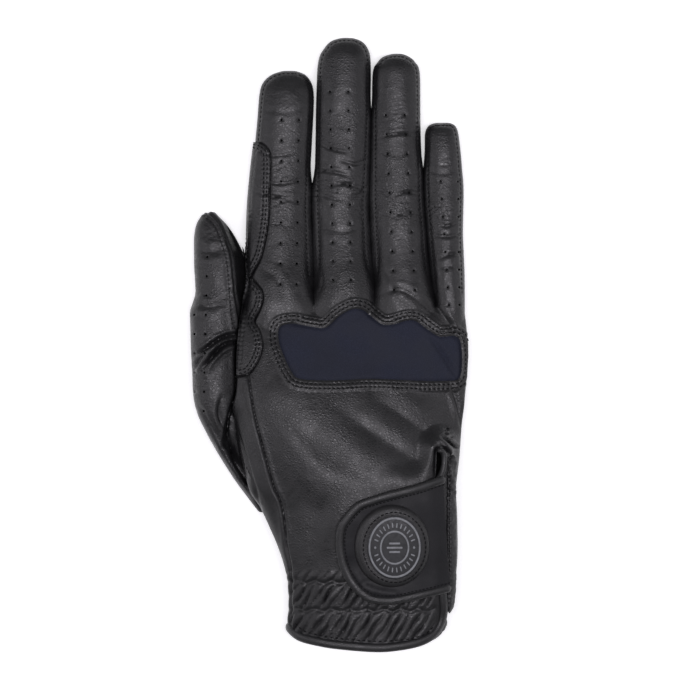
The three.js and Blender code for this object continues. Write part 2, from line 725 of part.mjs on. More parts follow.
const padX = badgeX - badgePadShift;
const padWidth = badgeWidth + badgePadBorder * 2;
const padHeight = badgeHeight + badgePadBorder * 2;
const padBase = strapTop + seamGap;
const badgePad = handSkin(padBase + badgePadThickness * 0.6)
  .subtract(handSkin(padBase))
  .intersect(prism(ellipse(padX, badgeY, padWidth, padHeight, badgeSides), seamHeight, ceilingZ))
  .add(handSkin(padBase + badgePadThickness)
    .subtract(handSkin(padBase))
    .intersect(prism(ellipse(padX, badgeY, padWidth * 0.88, padHeight * 0.88, badgeSides), seamHeight, ceilingZ)));

const badgeBase = padBase + badgePadThickness + seamGap;
const badgeDisc = handSkin(badgeBase + badgeThickness * 0.6)
  .subtract(handSkin(badgeBase))
  .intersect(prism(ellipse(badgeX, badgeY, badgeWidth, badgeHeight, badgeSides), seamHeight, ceilingZ));
const badgeRaised = handSkin(badgeBase + badgeThickness).subtract(handSkin(badgeBase));
const badgeRing = (outer, inner) => badgeRaised
  .intersect(prism(ellipse(badgeX, badgeY, outer * badgeWidth, outer * badgeHeight, badgeSides), seamHeight, ceilingZ))
  .subtract(prism(ellipse(badgeX, badgeY, inner * badgeWidth, inner * badgeHeight, badgeSides), seamHeight, ceilingZ));
const rimShare = (badgeRim * 2) / badgeWidth;
const badge = badgeDisc.add(badgeRing(1, 1 - rimShare)).add(badgeRing(0.6, 0.6 - rimShare));

// The glove

const glove = new THREE.Group();
glove.name = 'riding_glove';
glove.add(toMesh('hand_back', handBack, leatherBlack));
glove.add(toMesh('palm', palm, leatherBlack));
fingerPairs.forEach((pair, i) => glove.add(toMesh(pair.name, fourchettes[i], leatherBlack)));
glove.add(toMesh('thumb_back', thumbBack, leatherBlack));
glove.add(toMesh('thumb_front', thumbFront, leatherBlack));
glove.add(toMesh('knuckle_panel', knucklePanel, stretchNavy));
glove.add(toMesh('index_patch', indexPatch, leatherBlack));
glove.add(toMesh('wrist_gather', wristGather, leatherBlack));
glove.add(toMesh('hem_binding', hemBinding, bindingBlack));
glove.add(toMesh('slit_binding', slitBinding, bindingBlack));
glove.add(toMesh('slit_facing', slitFacing, leatherBlack));
glove.add(toMesh('strap', strap, strapBlack));
glove.add(toMesh('strap_binding', strapBinding, bindingBlack));
glove.add(toMesh('hook_pad', hookPad, hookBlack));
glove.add(toMesh('badge_pad', badgePad, leatherBlack));
glove.add(toMesh('badge', badge, badgeGrey));

export default glove;
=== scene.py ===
"""Horse riding glove for the right hand, lying palm down: the dressed model, its floor, lights and camera."""

import logging
import math
from dataclasses import dataclass, field
from enum import Enum

import bmesh
import bpy
import numpy as np
from mathutils import Matrix, Vector, noise
from mathutils.bvhtree import BVHTree


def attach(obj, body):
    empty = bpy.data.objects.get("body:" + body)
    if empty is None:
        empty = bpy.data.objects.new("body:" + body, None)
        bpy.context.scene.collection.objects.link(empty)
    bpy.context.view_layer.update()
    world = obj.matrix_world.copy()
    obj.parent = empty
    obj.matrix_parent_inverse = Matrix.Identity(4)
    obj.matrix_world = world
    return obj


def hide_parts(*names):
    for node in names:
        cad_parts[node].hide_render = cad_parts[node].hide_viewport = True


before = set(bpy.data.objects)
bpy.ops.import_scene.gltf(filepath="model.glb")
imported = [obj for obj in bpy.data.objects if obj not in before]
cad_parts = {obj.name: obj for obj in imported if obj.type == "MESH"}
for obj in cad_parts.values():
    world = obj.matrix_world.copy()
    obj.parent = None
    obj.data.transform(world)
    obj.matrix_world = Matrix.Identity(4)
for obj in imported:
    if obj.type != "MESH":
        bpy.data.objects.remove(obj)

LOG = logging.getLogger("riding_glove")
MM = 0.001
BODY = "root"
STEP = 0.384  # millimetres of glove for one step of the plan that the outlines are drawn on
PLAN_X = 327.5  # steps across and down to the place on the plan that is the frame's middle
PLAN_Y = 344.0
PICTURE = 700  # steps of the plan that the camera sees each way
VOXEL = 0.46
BELOW_ALL, ABOVE_ALL = -40.0, 60.0  # heights where the cutting solids start and end
OUT_OF_REACH = 99.0  # the distance given to what is too far from a line to measure
THUMB_SIDE = -36.0  # millimetres across: what lies further left belongs to the thumb
PITCH = 1.75  # from one stitch to the next, in millimetres
THUMB_PITCH = 1.7
THREAD_SINK = 0.06  # how deep thread sits in what it is sewn to
KNUCKLE_ROWS = (1.35, 2.95)  # the rows of thread beside an edge, by their distance from it
PATCH_ROWS = (1.0, 2.2)
SHARP_ANGLE = 38.0  # degrees over which an edge stays sharp
FINE_THREAD = (1.2, 0.38)  # length and width of a stitch on the fingers and the thumb

Pair = tuple[float, float]
Points = list[Pair]
Colour = tuple[float, float, float]


def plan(points: Points) -> np.ndarray:
    """Turns places on the plan, counted from its top left, into millimetres of the glove's frame.

    Args:
        points: places on the plan, across and down.

    Returns:
        An array with one row of x and y for each place.
    """
    spots = np.array(points, dtype=float)
    return np.column_stack(((spots[:, 0] - PLAN_X) * STEP, (PLAN_Y - spots[:, 1]) * STEP))


def smoothstep(value: np.ndarray, low: float, high: float) -> np.ndarray:
    """Rises smoothly from 0 at low to 1 at high."""
    share = np.clip((value - low) / (high - low), 0.0, 1.0)
    return share * share * (3.0 - 2.0 * share)


def bell(distance: np.ndarray, width: float) -> np.ndarray:
    """A soft bump that is 1 at no distance and fades over width."""
    return np.exp(-((distance / width) ** 2))


def pucker(along: np.ndarray, pitch: float = PITCH) -> np.ndarray:
    """How hard a row of thread pulls at each length along it, most at each stitch's middle."""
    return 0.65 + 0.35 * np.cos(2 * np.pi * along / pitch)


def spline(around: list[np.ndarray], share: float | np.ndarray) -> np.ndarray:
    """Runs a smooth curve through points.

    Args:
        around: four points in order, of which the curve goes from the second to the third.
        share: how far along the curve it is, from 0 to 1.

    Returns:
        The place on the curve.
    """
    a, b, c, d = around
    square = (2 * a - 5 * b + 4 * c - d) * share**2
    cube = (3 * b - a - 3 * c + d) * share**3
    return 0.5 * (2 * b + (c - a) * share + square + cube)


def resample(points: np.ndarray, spacing: float, closed: bool = False) -> np.ndarray:
    """Places points evenly along a smooth curve through the given ones.

    Args:
        points: the curve's own points, one a row.
        spacing: the wanted distance between points.
        closed: whether the last point joins the first.

    Returns:
        The evenly placed points.
    """
    count = len(points)
    spans = count if closed else count - 1
    fine: list[np.ndarray] = []
    for i in range(spans):
        if closed:
            around = [points[(i + k) % count] for k in (-1, 0, 1, 2)]
        else:
            around = [points[min(max(i + k, 0), count - 1)] for k in (-1, 0, 1, 2)]
        fine.extend(spline(around, share) for share in np.linspace(0, 1, 12, endpoint=False))
    fine.append(points[0] if closed else points[-1])
    line = np.array(fine)
    length = np.concatenate(([0.0], np.cumsum(np.linalg.norm(np.diff(line, axis=0), axis=1))))
    steps = max(2, int(round(length[-1] / spacing)))
    at = np.linspace(0, length[-1], steps + 1)
    even = np.column_stack([np.interp(at, length, line[:, k]) for k in range(line.shape[1])])
    return even[:-1] if closed else even


def line_distance(spots: np.ndarray, line: np.ndarray, reach: float = 6.0) -> tuple[np.ndarray, np.ndarray]:
    """Distance of each spot from a line of points, and how far along the line its nearest point is.

    Args:
        spots: places to measure, one a row.
        line: the line's points.
        reach: spots further than this from the line are only known to be far.

    Returns:
        The distances and the lengths along the line.
    """
    nearest = np.full(len(spots), OUT_OF_REACH)
    along = np.zeros(len(spots))
    run = 0.0
    stretch = 10
    for start in range(0, len(line) - 1, stretch):
        part = line[start:start + stretch + 1]
        within = (spots > part.min(axis=0) - reach) & (spots < part.max(axis=0) + reach)
        close = np.flatnonzero(np.all(within, axis=1))
        for a, b in zip(part[:-1], part[1:]):
            step = b - a
            length = float(np.hypot(*step))
            if length > 1e-9 and len(close):
                away = spots[close] - a
                share = np.clip((away @ step) / length**2, 0.0, 1.0)
                gap = np.linalg.norm(away - share[:, None] * step, axis=1)
                closer = gap < nearest[close]
                nearest[close[closer]] = gap[closer]
                along[close[closer]] = run + share[closer] * length
            run += length
    return nearest, along


def signed_side(spots: np.ndarray, line: np.ndarray, reach: float = 6.0) -> np.ndarray:
    """Distance from a line that runs down the plan.

    Args:
        spots: places to measure, one a row.
        line: the line's points.
        reach: spots further than this from the line are only known to be far.

    Returns:
        The distances, above 0 on the line's right and below 0 on its left.
    """
    gap, _ = line_distance(spots, line, reach)
    order = np.argsort(line[:, 1])
    middle = np.interp(spots[:, 1], line[order, 1], line[order, 0])
    return np.where(spots[:, 0] > middle, gap, -gap)


def inside_outline(spots: np.ndarray, outline: np.ndarray) -> np.ndarray:
    """Tells which spots lie inside a closed outline.

    Args:
        spots: places to test, one a row.
        outline: the outline's points in order.

    Returns:
        True for each spot inside.
    """
    result = np.zeros(len(spots), dtype=bool)
    x, y = spots[:, 0], spots[:, 1]
    for (ax, ay), (bx, by) in zip(outline, np.roll(outline, -1, axis=0)):
        crosses = (ay > y) != (by > y)
        if crosses.any():
            at = ax + (y - ay) / (by - ay if by != ay else 1e-12) * (bx - ax)
            result ^= crosses & (x < at)
    return result


def inset(line: np.ndarray, distance: float, closed: bool = True) -> np.ndarray:
    """Moves a line sideways, to the left of its direction.

    Args:
        line: the line's points.
        distance: how far it moves, in millimetres.
        closed: whether the line is a loop.

    Returns:
        The moved points.
    """
    if closed:
        tangent = np.roll(line, -1, axis=0) - np.roll(line, 1, axis=0)
    else:
        tangent = np.gradient(line, axis=0)
    tangent /= np.maximum(np.linalg.norm(tangent, axis=1), 1e-9)[:, None]
    return line + np.column_stack((-tangent[:, 1], tangent[:, 0])) * distance


def outward(loop: np.ndarray) -> float:
    """Gives the sign that moves a closed line outwards."""
    area = np.sum(loop[:, 0] * np.roll(loop[:, 1], -1) - np.roll(loop[:, 0], -1) * loop[:, 1])
    return -1.0 if area > 0 else 1.0


def ellipse(centre: Pair, radii: Pair, count: int) -> np.ndarray:
    """Places points evenly in angle round an ellipse in plan."""
    turns = np.linspace(0, 2 * math.pi, count, endpoint=False)
    return np.array([(centre[0] + radii[0] * math.cos(t), centre[1] + radii[1] * math.sin(t)) for t in turns])


def rounded(loop: np.ndarray, rounds: int) -> np.ndarray:
    """Rounds off the corners of a closed line by averaging each point with its neighbours."""
    for _ in range(rounds):
        loop = (np.roll(loop, 1, axis=0) + 2 * loop + np.roll(loop, -1, axis=0)) / 4
    return loop


# Outlines and lines of the glove, on the plan

KNUCKLE_OUTLINE: Points = [
    (279.8, 327.5), (292, 323.6), (307.4, 326), (322.7, 328.2), (330.3, 324.4), (337, 318), (344, 313.0),
    (353.3, 309), (362.5, 309.8), (371.6, 316.7), (382.4, 324.4), (393, 324.4), (406.8, 320.6), (416, 321.3),
    (426.7, 329), (437.5, 336.0), (445, 336.6), (454.3, 335.9), (460.2, 341), (462, 356.5), (461.2, 373),
    (456.4, 380.0), (440, 381), (423.7, 381), (373, 378.7), (331.8, 380.3), (301, 378.7), (292, 371.8),
    (284.4, 356.5), (279, 341),
]
PATCH_EDGE: Points = [
    (240, 140.3), (253.4, 141.3), (261.4, 144), (267, 149), (269.5, 156), (269.5, 181), (267.7, 221),
    (261.4, 254.6), (252.5, 272.5), (249.4, 278.2), (255, 283), (261, 290), (262.6, 298), (260, 309),
    (254.2, 320.8), (259, 330), (261.8, 340.7), (262, 348), (259, 358), (254, 367), (248, 373.6),
    (237, 376.5),
]
PATCH_INNER: Points = [
    (236.6, 374), (236.4, 360), (237.2, 345), (239.5, 322), (243, 300), (246.3, 281), (245, 265), (241, 240),
    (240, 200), (240, 142),
]
WRAP_SEAM: Points = [
    (238, 330), (243, 355), (248, 374), (255, 415), (262, 443), (273, 483.5), (280, 500), (284, 518),
    (286.5, 545), (290.5, 569), (291, 600), (291, 670),
]
THUMB_SEAM: Points = [
    (247, 200), (246.5, 279.5), (243, 300), (239.5, 322), (237.2, 345), (236.4, 372), (235, 392), (234, 409),
    (238, 432), (244, 452), (250, 470), (257, 496), (262, 520),
]
THUMB_RIDGE: Points = [
    (200, 190), (204, 211), (213, 220.5), (219, 229), (224, 242), (229, 258), (232, 285), (233.5, 310),
    (235, 325), (236.3, 337), (236, 350), (235, 372), (232, 392), (240, 420), (260, 470), (275, 520),
]
STRAP_OUTLINE: Points = [
    (443, 474), (428, 479), (414, 483.5), (386, 490.5), (371, 495), (358, 500), (350, 507), (344, 514.5),
    (338.5, 522), (336, 532), (335.6, 545), (337.5, 558), (341, 569), (347, 581), (355, 591), (363, 597.5),
    (373, 602), (393, 603), (421, 597.5), (451, 591), (450, 560), (447.5, 520),
]
HEM_CURVE: Points = [
    (270, 612), (289, 632), (300, 640.5), (318, 645), (337, 648), (375, 651), (400, 649.8), (415, 648),
    (430, 643), (439, 636), (445, 624), (449, 612), (452, 600), (470, 580),
]
HEM_CORNER: Points = [
    (440.6, 580), (442.4, 596), (443.4, 609), (441.2, 621.5), (434.4, 632.5), (422, 639.8), (407, 643.6),
    (392, 645.6),
]
THUMB_ROOT: Points = [
    (242, 305), (237.6, 342), (236.8, 368), (235.6, 392), (230.8, 408), (227.6, 424), (225.8, 444),
]
THUMB_GUSSET: Points = [(235, 407), (236, 423), (239, 443), (243.5, 460), (249, 472)]
SLIT_OPENING: Points = [
    (436.0, 452), (437.6, 449.8), (440.4, 450.6), (442.2, 456), (441.8, 464), (438.6, 474), (438.4, 500),
    (442.2, 550), (446.4, 600), (447.0, 660), (444.4, 660), (444.2, 600), (439.6, 550), (436.4, 500),
    (435.2, 476),
]
SLIT_LOOP: Points = [
    (436.8, 479), (439.4, 475.4), (441.8, 470.4), (443.3, 463.5), (443.6, 456.8), (442.3, 452), (439.6, 450),
    (437.4, 451.4),
]
FACING: Points = [
    (451.6, 455), (451.8, 466), (451.6, 480), (451.2, 505), (451.3, 540), (451.5, 575), (451.2, 595),
    (449.8, 612),
]
FACING_ROW: Points = [(449.4, 458), (449.4, 480), (448.9, 505), (449.0, 540), (449.2, 575), (448.9, 592)]


def ringed_bar(sides: int, rings: int) -> tuple[bmesh.types.BMesh, np.ndarray, np.ndarray, np.ndarray]:
    """Starts a closed bar of cross-sections, still round, straight and a unit long.

    Args:
        sides: points round each cross-section.
        rings: cross-sections along the bar.

    Returns:
        The mesh, its points, the number of each point's cross-section and its distance from the axis.
    """
    bm = bmesh.new()
    bmesh.ops.create_cone(bm, cap_ends=True, cap_tris=True, segments=sides, radius1=1, radius2=1, depth=1)
    uprights = [edge for edge in bm.edges if abs(edge.verts[0].co.z - edge.verts[1].co.z) > 0.5]
    bmesh.ops.subdivide_edges(bm, edges=uprights, cuts=rings - 2, use_grid_fill=True)
    spots = np.array([vert.co for vert in bm.verts])
    ring = np.clip(np.round((spots[:, 2] + 0.5) * (rings - 1)).astype(int), 0, rings - 1)
    return bm, spots, ring, np.minimum(1.0, np.hypot(spots[:, 0], spots[:, 1]))


def put(bm: bmesh.types.BMesh, spots: np.ndarray) -> None:
    """Moves a mesh's points to places given in millimetres."""
    for vert, spot in zip(bm.verts, spots):
        vert.co = Vector(spot) * MM


@dataclass(frozen=True)
class Tube:
    """A finger, the thumb or the hand: cross-sections strung along the glove's length."""

    name: str
    x: float
    y: float
    length: float
    width: float
    thickness: float
    fullness: float
    table: tuple[tuple[float, ...], ...]

    def columns(self) -> np.ndarray:
        """Gives the table with a missing bottom filled in as 0."""
        return np.array([list(row) + [0.0] * (5 - len(row)) for row in self.table])

    def smooth_columns(self, rings: int) -> np.ndarray:
        """Gives the cross-sections along a smooth curve through the table's rows.

        Args:
            rings: how many cross-sections to give.

        Returns:
            An array with one row for each cross-section.
        """
        rows = self.columns()
        last = len(rows) - 1
        at = np.linspace(0, last, rings)
        low = np.minimum(at.astype(int), last - 1)
        return spline([rows[np.clip(low + k, 0, last)] for k in (-1, 0, 1, 2)], (at - low)[:, None])

    def section_at(self, y: np.ndarray) -> np.ndarray:
        """Gives the table's columns at places along the glove, in millimetres."""
        rows = self.smooth_columns(8 * len(self.table))
        along = (np.asarray(y, dtype=float) - self.y) / self.length
        return np.column_stack([np.interp(along, rows[:, 0], rows[:, k]) for k in range(5)])

    def extents(self, rows: np.ndarray, offset: float) -> tuple[np.ndarray, ...]:
        """Measures cross-sections.

        Args:
            rows: the cross-sections.
            offset: how far the skin is moved outwards.

        Returns:
            Their reach to the left and right, and the heights of top, middle and bottom.
        """
        left = rows[:, 1] * self.width + offset
        right = rows[:, 2] * self.width + offset
        top = rows[:, 3] * self.thickness + offset
        bottom = rows[:, 4] * self.thickness - offset
        return left, right, top, bottom + (top - bottom) * 0.45, bottom

    def skin_points(self, rows: np.ndarray, turn: np.ndarray, radius: np.ndarray,
                    offset: float) -> np.ndarray:
        """Places points on the tube's skin.

        Args:
            rows: the cross-section of each point.
            turn: each point's angle round the tube, 0 at the top and a right angle on the right.
            radius: 1 on the skin and 0 on the axis.
            offset: how far the skin is moved outwards.

        Returns:
            The points in millimetres.
        """
        left, right, top, middle, bottom = self.extents(rows, offset)
        side, rise = np.sin(turn), np.cos(turn)
        across = np.sign(side) * np.abs(side) ** self.fullness * (left + right) / 2
        height = np.sign(rise) * np.abs(rise) ** self.fullness
        depth = np.where(rise > 0, top - middle, (middle - bottom) * 1.3)
        x = self.x + (right - left) / 2 + across * radius
        y = self.y + rows[:, 0] * (self.length + offset)
        z = np.maximum(bottom, middle + height * depth * radius)
        return np.column_stack((x, y, z))

    def top_height(self, x: np.ndarray, y: np.ndarray, offset: float) -> np.ndarray:
        """Height of the tube's upper skin over a place in plan.

        Args:
            x: places across, in millimetres.
            y: places along, in millimetres.
            offset: how far the skin is moved outwards.

        Returns:
            The heights in millimetres.
        """
        left, right, top, middle, _ = self.extents(self.section_at(y), offset)
        side = np.clip(np.abs((x - self.x - (right - left) / 2) / ((left + right) / 2)), 0.0, 0.9995)
        sine = side ** (1 / self.fullness)
        return middle + (1 - sine**2) ** (self.fullness / 2) * (top - middle)

    def build(self, offset: float, sides: int, rings: int) -> bmesh.types.BMesh:
        """Makes the closed tube.

        Args:
            offset: how far the skin is moved outwards, in millimetres.
            sides: points round each cross-section.
            rings: cross-sections along the tube.

        Returns:
            The tube's mesh in metres.
        """
        bm, spots, ring, radius = ringed_bar(sides, rings)
        turn = np.arctan2(spots[:, 0], spots[:, 1])
        put(bm, self.skin_points(self.smooth_columns(rings)[ring], turn, radius, offset))
        bmesh.ops.recalc_face_normals(bm, faces=bm.faces)
        return bm


HAND = Tube("hand", 8.6, -117.9, 131.7, 86.8, 26.5, 0.78, (
    (-0.09, 0.258, 0.376, 0.71, 0.04), (-0.026, 0.261, 0.381, 0.72, 0.04), (0.032, 0.268, 0.392, 0.75, 0.04),
    (0.079, 0.274, 0.42, 0.77, 0.04), (0.149, 0.27, 0.456, 0.79, 0.04), (0.219, 0.279, 0.469, 0.81, 0.02),
    (0.3, 0.316, 0.476, 0.87), (0.394, 0.378, 0.474, 0.94), (0.472, 0.442, 0.469, 0.98),
    (0.557, 0.478, 0.482, 1.0), (0.644, 0.501, 0.493, 1.0), (0.732, 0.508, 0.507, 0.98),
    (0.819, 0.502, 0.518, 0.94), (0.892, 0.499, 0.521, 0.87), (0.959, 0.487, 0.513, 0.75),
    (1.0, 0.478, 0.506, 0.56, 0.02),
))
INDEX = Tube("index", -16.7, 1.5, 103.7, 23.0, 13.5, 0.90, (
    (0, 0.54, 0.7, 1.5, 0.1), (0.111, 0.6, 0.64, 1.42), (0.181, 0.625, 0.5, 1.3), (0.281, 0.633, 0.445, 1.12),
    (0.407, 0.608, 0.42, 1.03), (0.519, 0.583, 0.412, 1.0), (0.667, 0.517, 0.445, 0.97),
    (0.815, 0.45, 0.48, 0.95), (0.904, 0.417, 0.492, 0.9), (0.952, 0.365, 0.46, 0.8, 0.02),
    (0.985, 0.22, 0.35, 0.66, 0.12), (1.0, 0.03, 0.19, 0.5, 0.26),
))
MIDDLE = Tube("middle", 5.6, 1.5, 116.4, 20.7, 13.5, 0.90, (
    (0, 0.64, 0.68, 1.6, 0.1), (0.099, 0.63, 0.667, 1.5), (0.162, 0.535, 0.61, 1.36),
    (0.191, 0.5, 0.585, 1.28), (0.264, 0.48, 0.5, 1.14), (0.363, 0.495, 0.463, 1.05),
    (0.462, 0.51, 0.444, 1.02),
    (0.627, 0.495, 0.495, 1.0), (0.805, 0.476, 0.53, 0.97), (0.921, 0.44, 0.528, 0.9),
    (0.964, 0.333, 0.475, 0.8, 0.02), (0.989, 0.204, 0.36, 0.66, 0.12), (1.0, 0.02, 0.2, 0.5, 0.26),
))
RING = Tube("ring", 27.1, 1.5, 110.2, 19.6, 13.5, 0.90, (
    (0, 0.62, 0.84, 1.5, 0.1), (0.07, 0.59, 0.81, 1.44), (0.129, 0.535, 0.74, 1.34),
    (0.202, 0.464, 0.643, 1.2), (0.279, 0.455, 0.582, 1.1), (0.383, 0.484, 0.533, 1.03),
    (0.488, 0.504, 0.486, 1.0),
    (0.627, 0.504, 0.465, 0.98), (0.767, 0.504, 0.438, 0.95), (0.93, 0.495, 0.427, 0.88),
    (0.972, 0.392, 0.33, 0.78, 0.02), (0.99, 0.29, 0.22, 0.66, 0.12), (1.0, 0.12, 0.09, 0.5, 0.26),
))
LITTLE = Tube("little", 44.4, -0.4, 85.6, 14.6, 13.5, 0.90, (
    (0, 0.4, 0.56, 1.3, 0.1), (0.112, 0.3, 0.57, 1.24), (0.188, 0.21, 0.575, 1.16), (0.247, 0.26, 0.577, 1.1),
    (0.381, 0.345, 0.555, 1.0), (0.516, 0.41, 0.53, 0.94), (0.695, 0.475, 0.55, 0.92),
    (0.794, 0.475, 0.5, 0.9), (0.901, 0.475, 0.447, 0.86), (0.957, 0.46, 0.405, 0.79, 0.02),
    (0.987, 0.37, 0.33, 0.66, 0.12), (1.0, 0.2, 0.2, 0.5, 0.26),
))
THUMB = Tube("thumb", -43.2, -64.9, 115.6, 20.0, 17.0, 0.86, (
    (0, -0.84, 1.02, 0.30, 0.08), (0.06, -0.57, 0.76, 0.48), (0.12, -0.325, 0.50, 0.64),
    (0.19, -0.08, 0.28, 0.78), (0.26, 0.15, 0.23, 0.90), (0.33, 0.34, 0.28, 0.99), (0.389, 0.42, 0.37, 1.05),
    (0.468, 0.442, 0.40, 1.05), (0.558, 0.469, 0.425, 1.02), (0.635, 0.485, 0.47, 1.0),
    (0.708, 0.5, 0.53, 0.98), (0.764, 0.515, 0.585, 0.96), (0.827, 0.536, 0.49, 0.92),
    (0.907, 0.54, 0.28, 0.82), (0.955, 0.5, 0.10, 0.72, 0.02), (0.987, 0.39, -0.08, 0.58, 0.12),
    (1.0, 0.24, -0.14, 0.46, 0.24),
))
WEB = Tube("web", -34.6, -58.0, 50.0, 14.0, 11.0, 0.7, (
    (0, -0.30, 0.80, 0.45), (0.14, -0.07, 0.62, 0.7), (0.3, 0.15, 0.40, 0.85), (0.5, 0.27, 0.24, 0.95),
    (0.7, 0.25, 0.18, 1.0), (0.9, 0.15, 0.13, 0.95), (1.0, 0.1, 0.1, 0.6),
))
FINGERS = (INDEX, MIDDLE, RING, LITTLE)


@dataclass(frozen=True)
class Spread:
    """Opens the narrow gaps between the fingers while their skins are blended, and closes them again."""

    gaps: tuple[Points, ...] = (
        [(313.8, 300), (313.5, 264), (311.6, 200), (312.6, 150), (314.8, 96), (315, 50)],
        [(374.5, 300), (374.2, 282), (371.8, 260), (369, 200), (370.4, 150), (371.6, 96), (371.6, 40)],
        [(436, 310), (435.5, 303), (432.8, 290), (428.8, 260), (426, 230), (423.8, 190), (422.5, 132)],
    )
    pinches: tuple[tuple[Tube, Tube, float, float], ...] = (
        (INDEX, MIDDLE, 58.0, 70.0), (MIDDLE, RING, 84.0, 97.0), (RING, LITTLE, 62.0, 75.0),
    )
    thumb_edge: tuple[tuple[float, ...], tuple[float, ...]] = (
        (-40, -24, -12, 0, 10, 20, 24, 30, 40, 60),
        (-36.5, -36.0, -35.05, -34.6, -33.8, -31.9, -31.2, -32.4, -34.9, -35.0),
    )
    width: float = 1.7
    ramp_low: float = 11.0
    ramp_high: float = 21.0
    thumb_shift: float = -1.7
    thumb_low: float = -24.0
    thumb_high: float = -10.0

    def finger_shift(self, number: float | np.ndarray, y: np.ndarray) -> np.ndarray:
        """How far a finger, or the gap half a number after it, is moved across at each place along it."""
        return (number - 1.5) * self.width * smoothstep(y, self.ramp_low, self.ramp_high)

    def thumb_move(self, y: np.ndarray) -> np.ndarray:
        """How far the thumb is moved across at each place along it."""
        return self.thumb_shift * smoothstep(y, self.thumb_low, self.thumb_high)

    def close(self, spots: np.ndarray) -> np.ndarray:
        """Moves blended points back to where the fingers belong.

        Args:
            spots: points of the blended skin, in millimetres.

        Returns:
            The moved points.
        """
        x, y = spots[:, 0], spots[:, 1]
        number = np.zeros(len(spots))
        for i, gap in enumerate(self.gaps):
            line = plan(gap)
            order = np.argsort(line[:, 1])
            middle = np.interp(y, line[order, 1], line[order, 0]) + self.finger_shift(i + 0.5, y)
            number += smoothstep(x - middle, -0.7, 0.7)
        moved = spots.copy()
        moved[:, 0] -= self.finger_shift(number, y)
        edge = np.interp(y, *self.thumb_edge)
        is_thumb = 1 - smoothstep(x - edge - self.thumb_move(y) / 2, -0.6, 0.6)
        moved[:, 0] -= is_thumb * self.thumb_move(y)
        return self.pinch(moved)

    def pinch(self, spots: np.ndarray) -> np.ndarray:
        """Lets neighbouring fingers, and the thumb and the hand, all but touch along their lower sides.

        Args:
            spots: points of the closed skin, in millimetres.

        Returns:
            The moved points.
        """
        moved = spots.copy()
        y = spots[:, 1]
        for left, right, start, end in self.pinches:
            edge_left = left.x + left.section_at(y)[:, 2] * left.width
            edge_right = right.x - right.section_at(y)[:, 1] * right.width
            half = (edge_right - edge_left) / 2 + 0.3
            middle = (edge_right + edge_left) / 2
            low = 1 - smoothstep(spots[:, 2], 8.5, 12.0)
            weight = low * (1 - smoothstep(y, start, end)) * smoothstep(y, 12, 17)
            away = spots[:, 0] - middle
            near = 1 - smoothstep(np.abs(away), 2.2, 6.0)
            moved[:, 0] -= np.sign(away) * np.clip(half, 0, 1.5) * weight * near
        return moved


@dataclass(frozen=True)
class Fold:
    """A crease or a soft ridge in the leather, along a line on the plan."""

    line: Points
    width: float
    depth: float


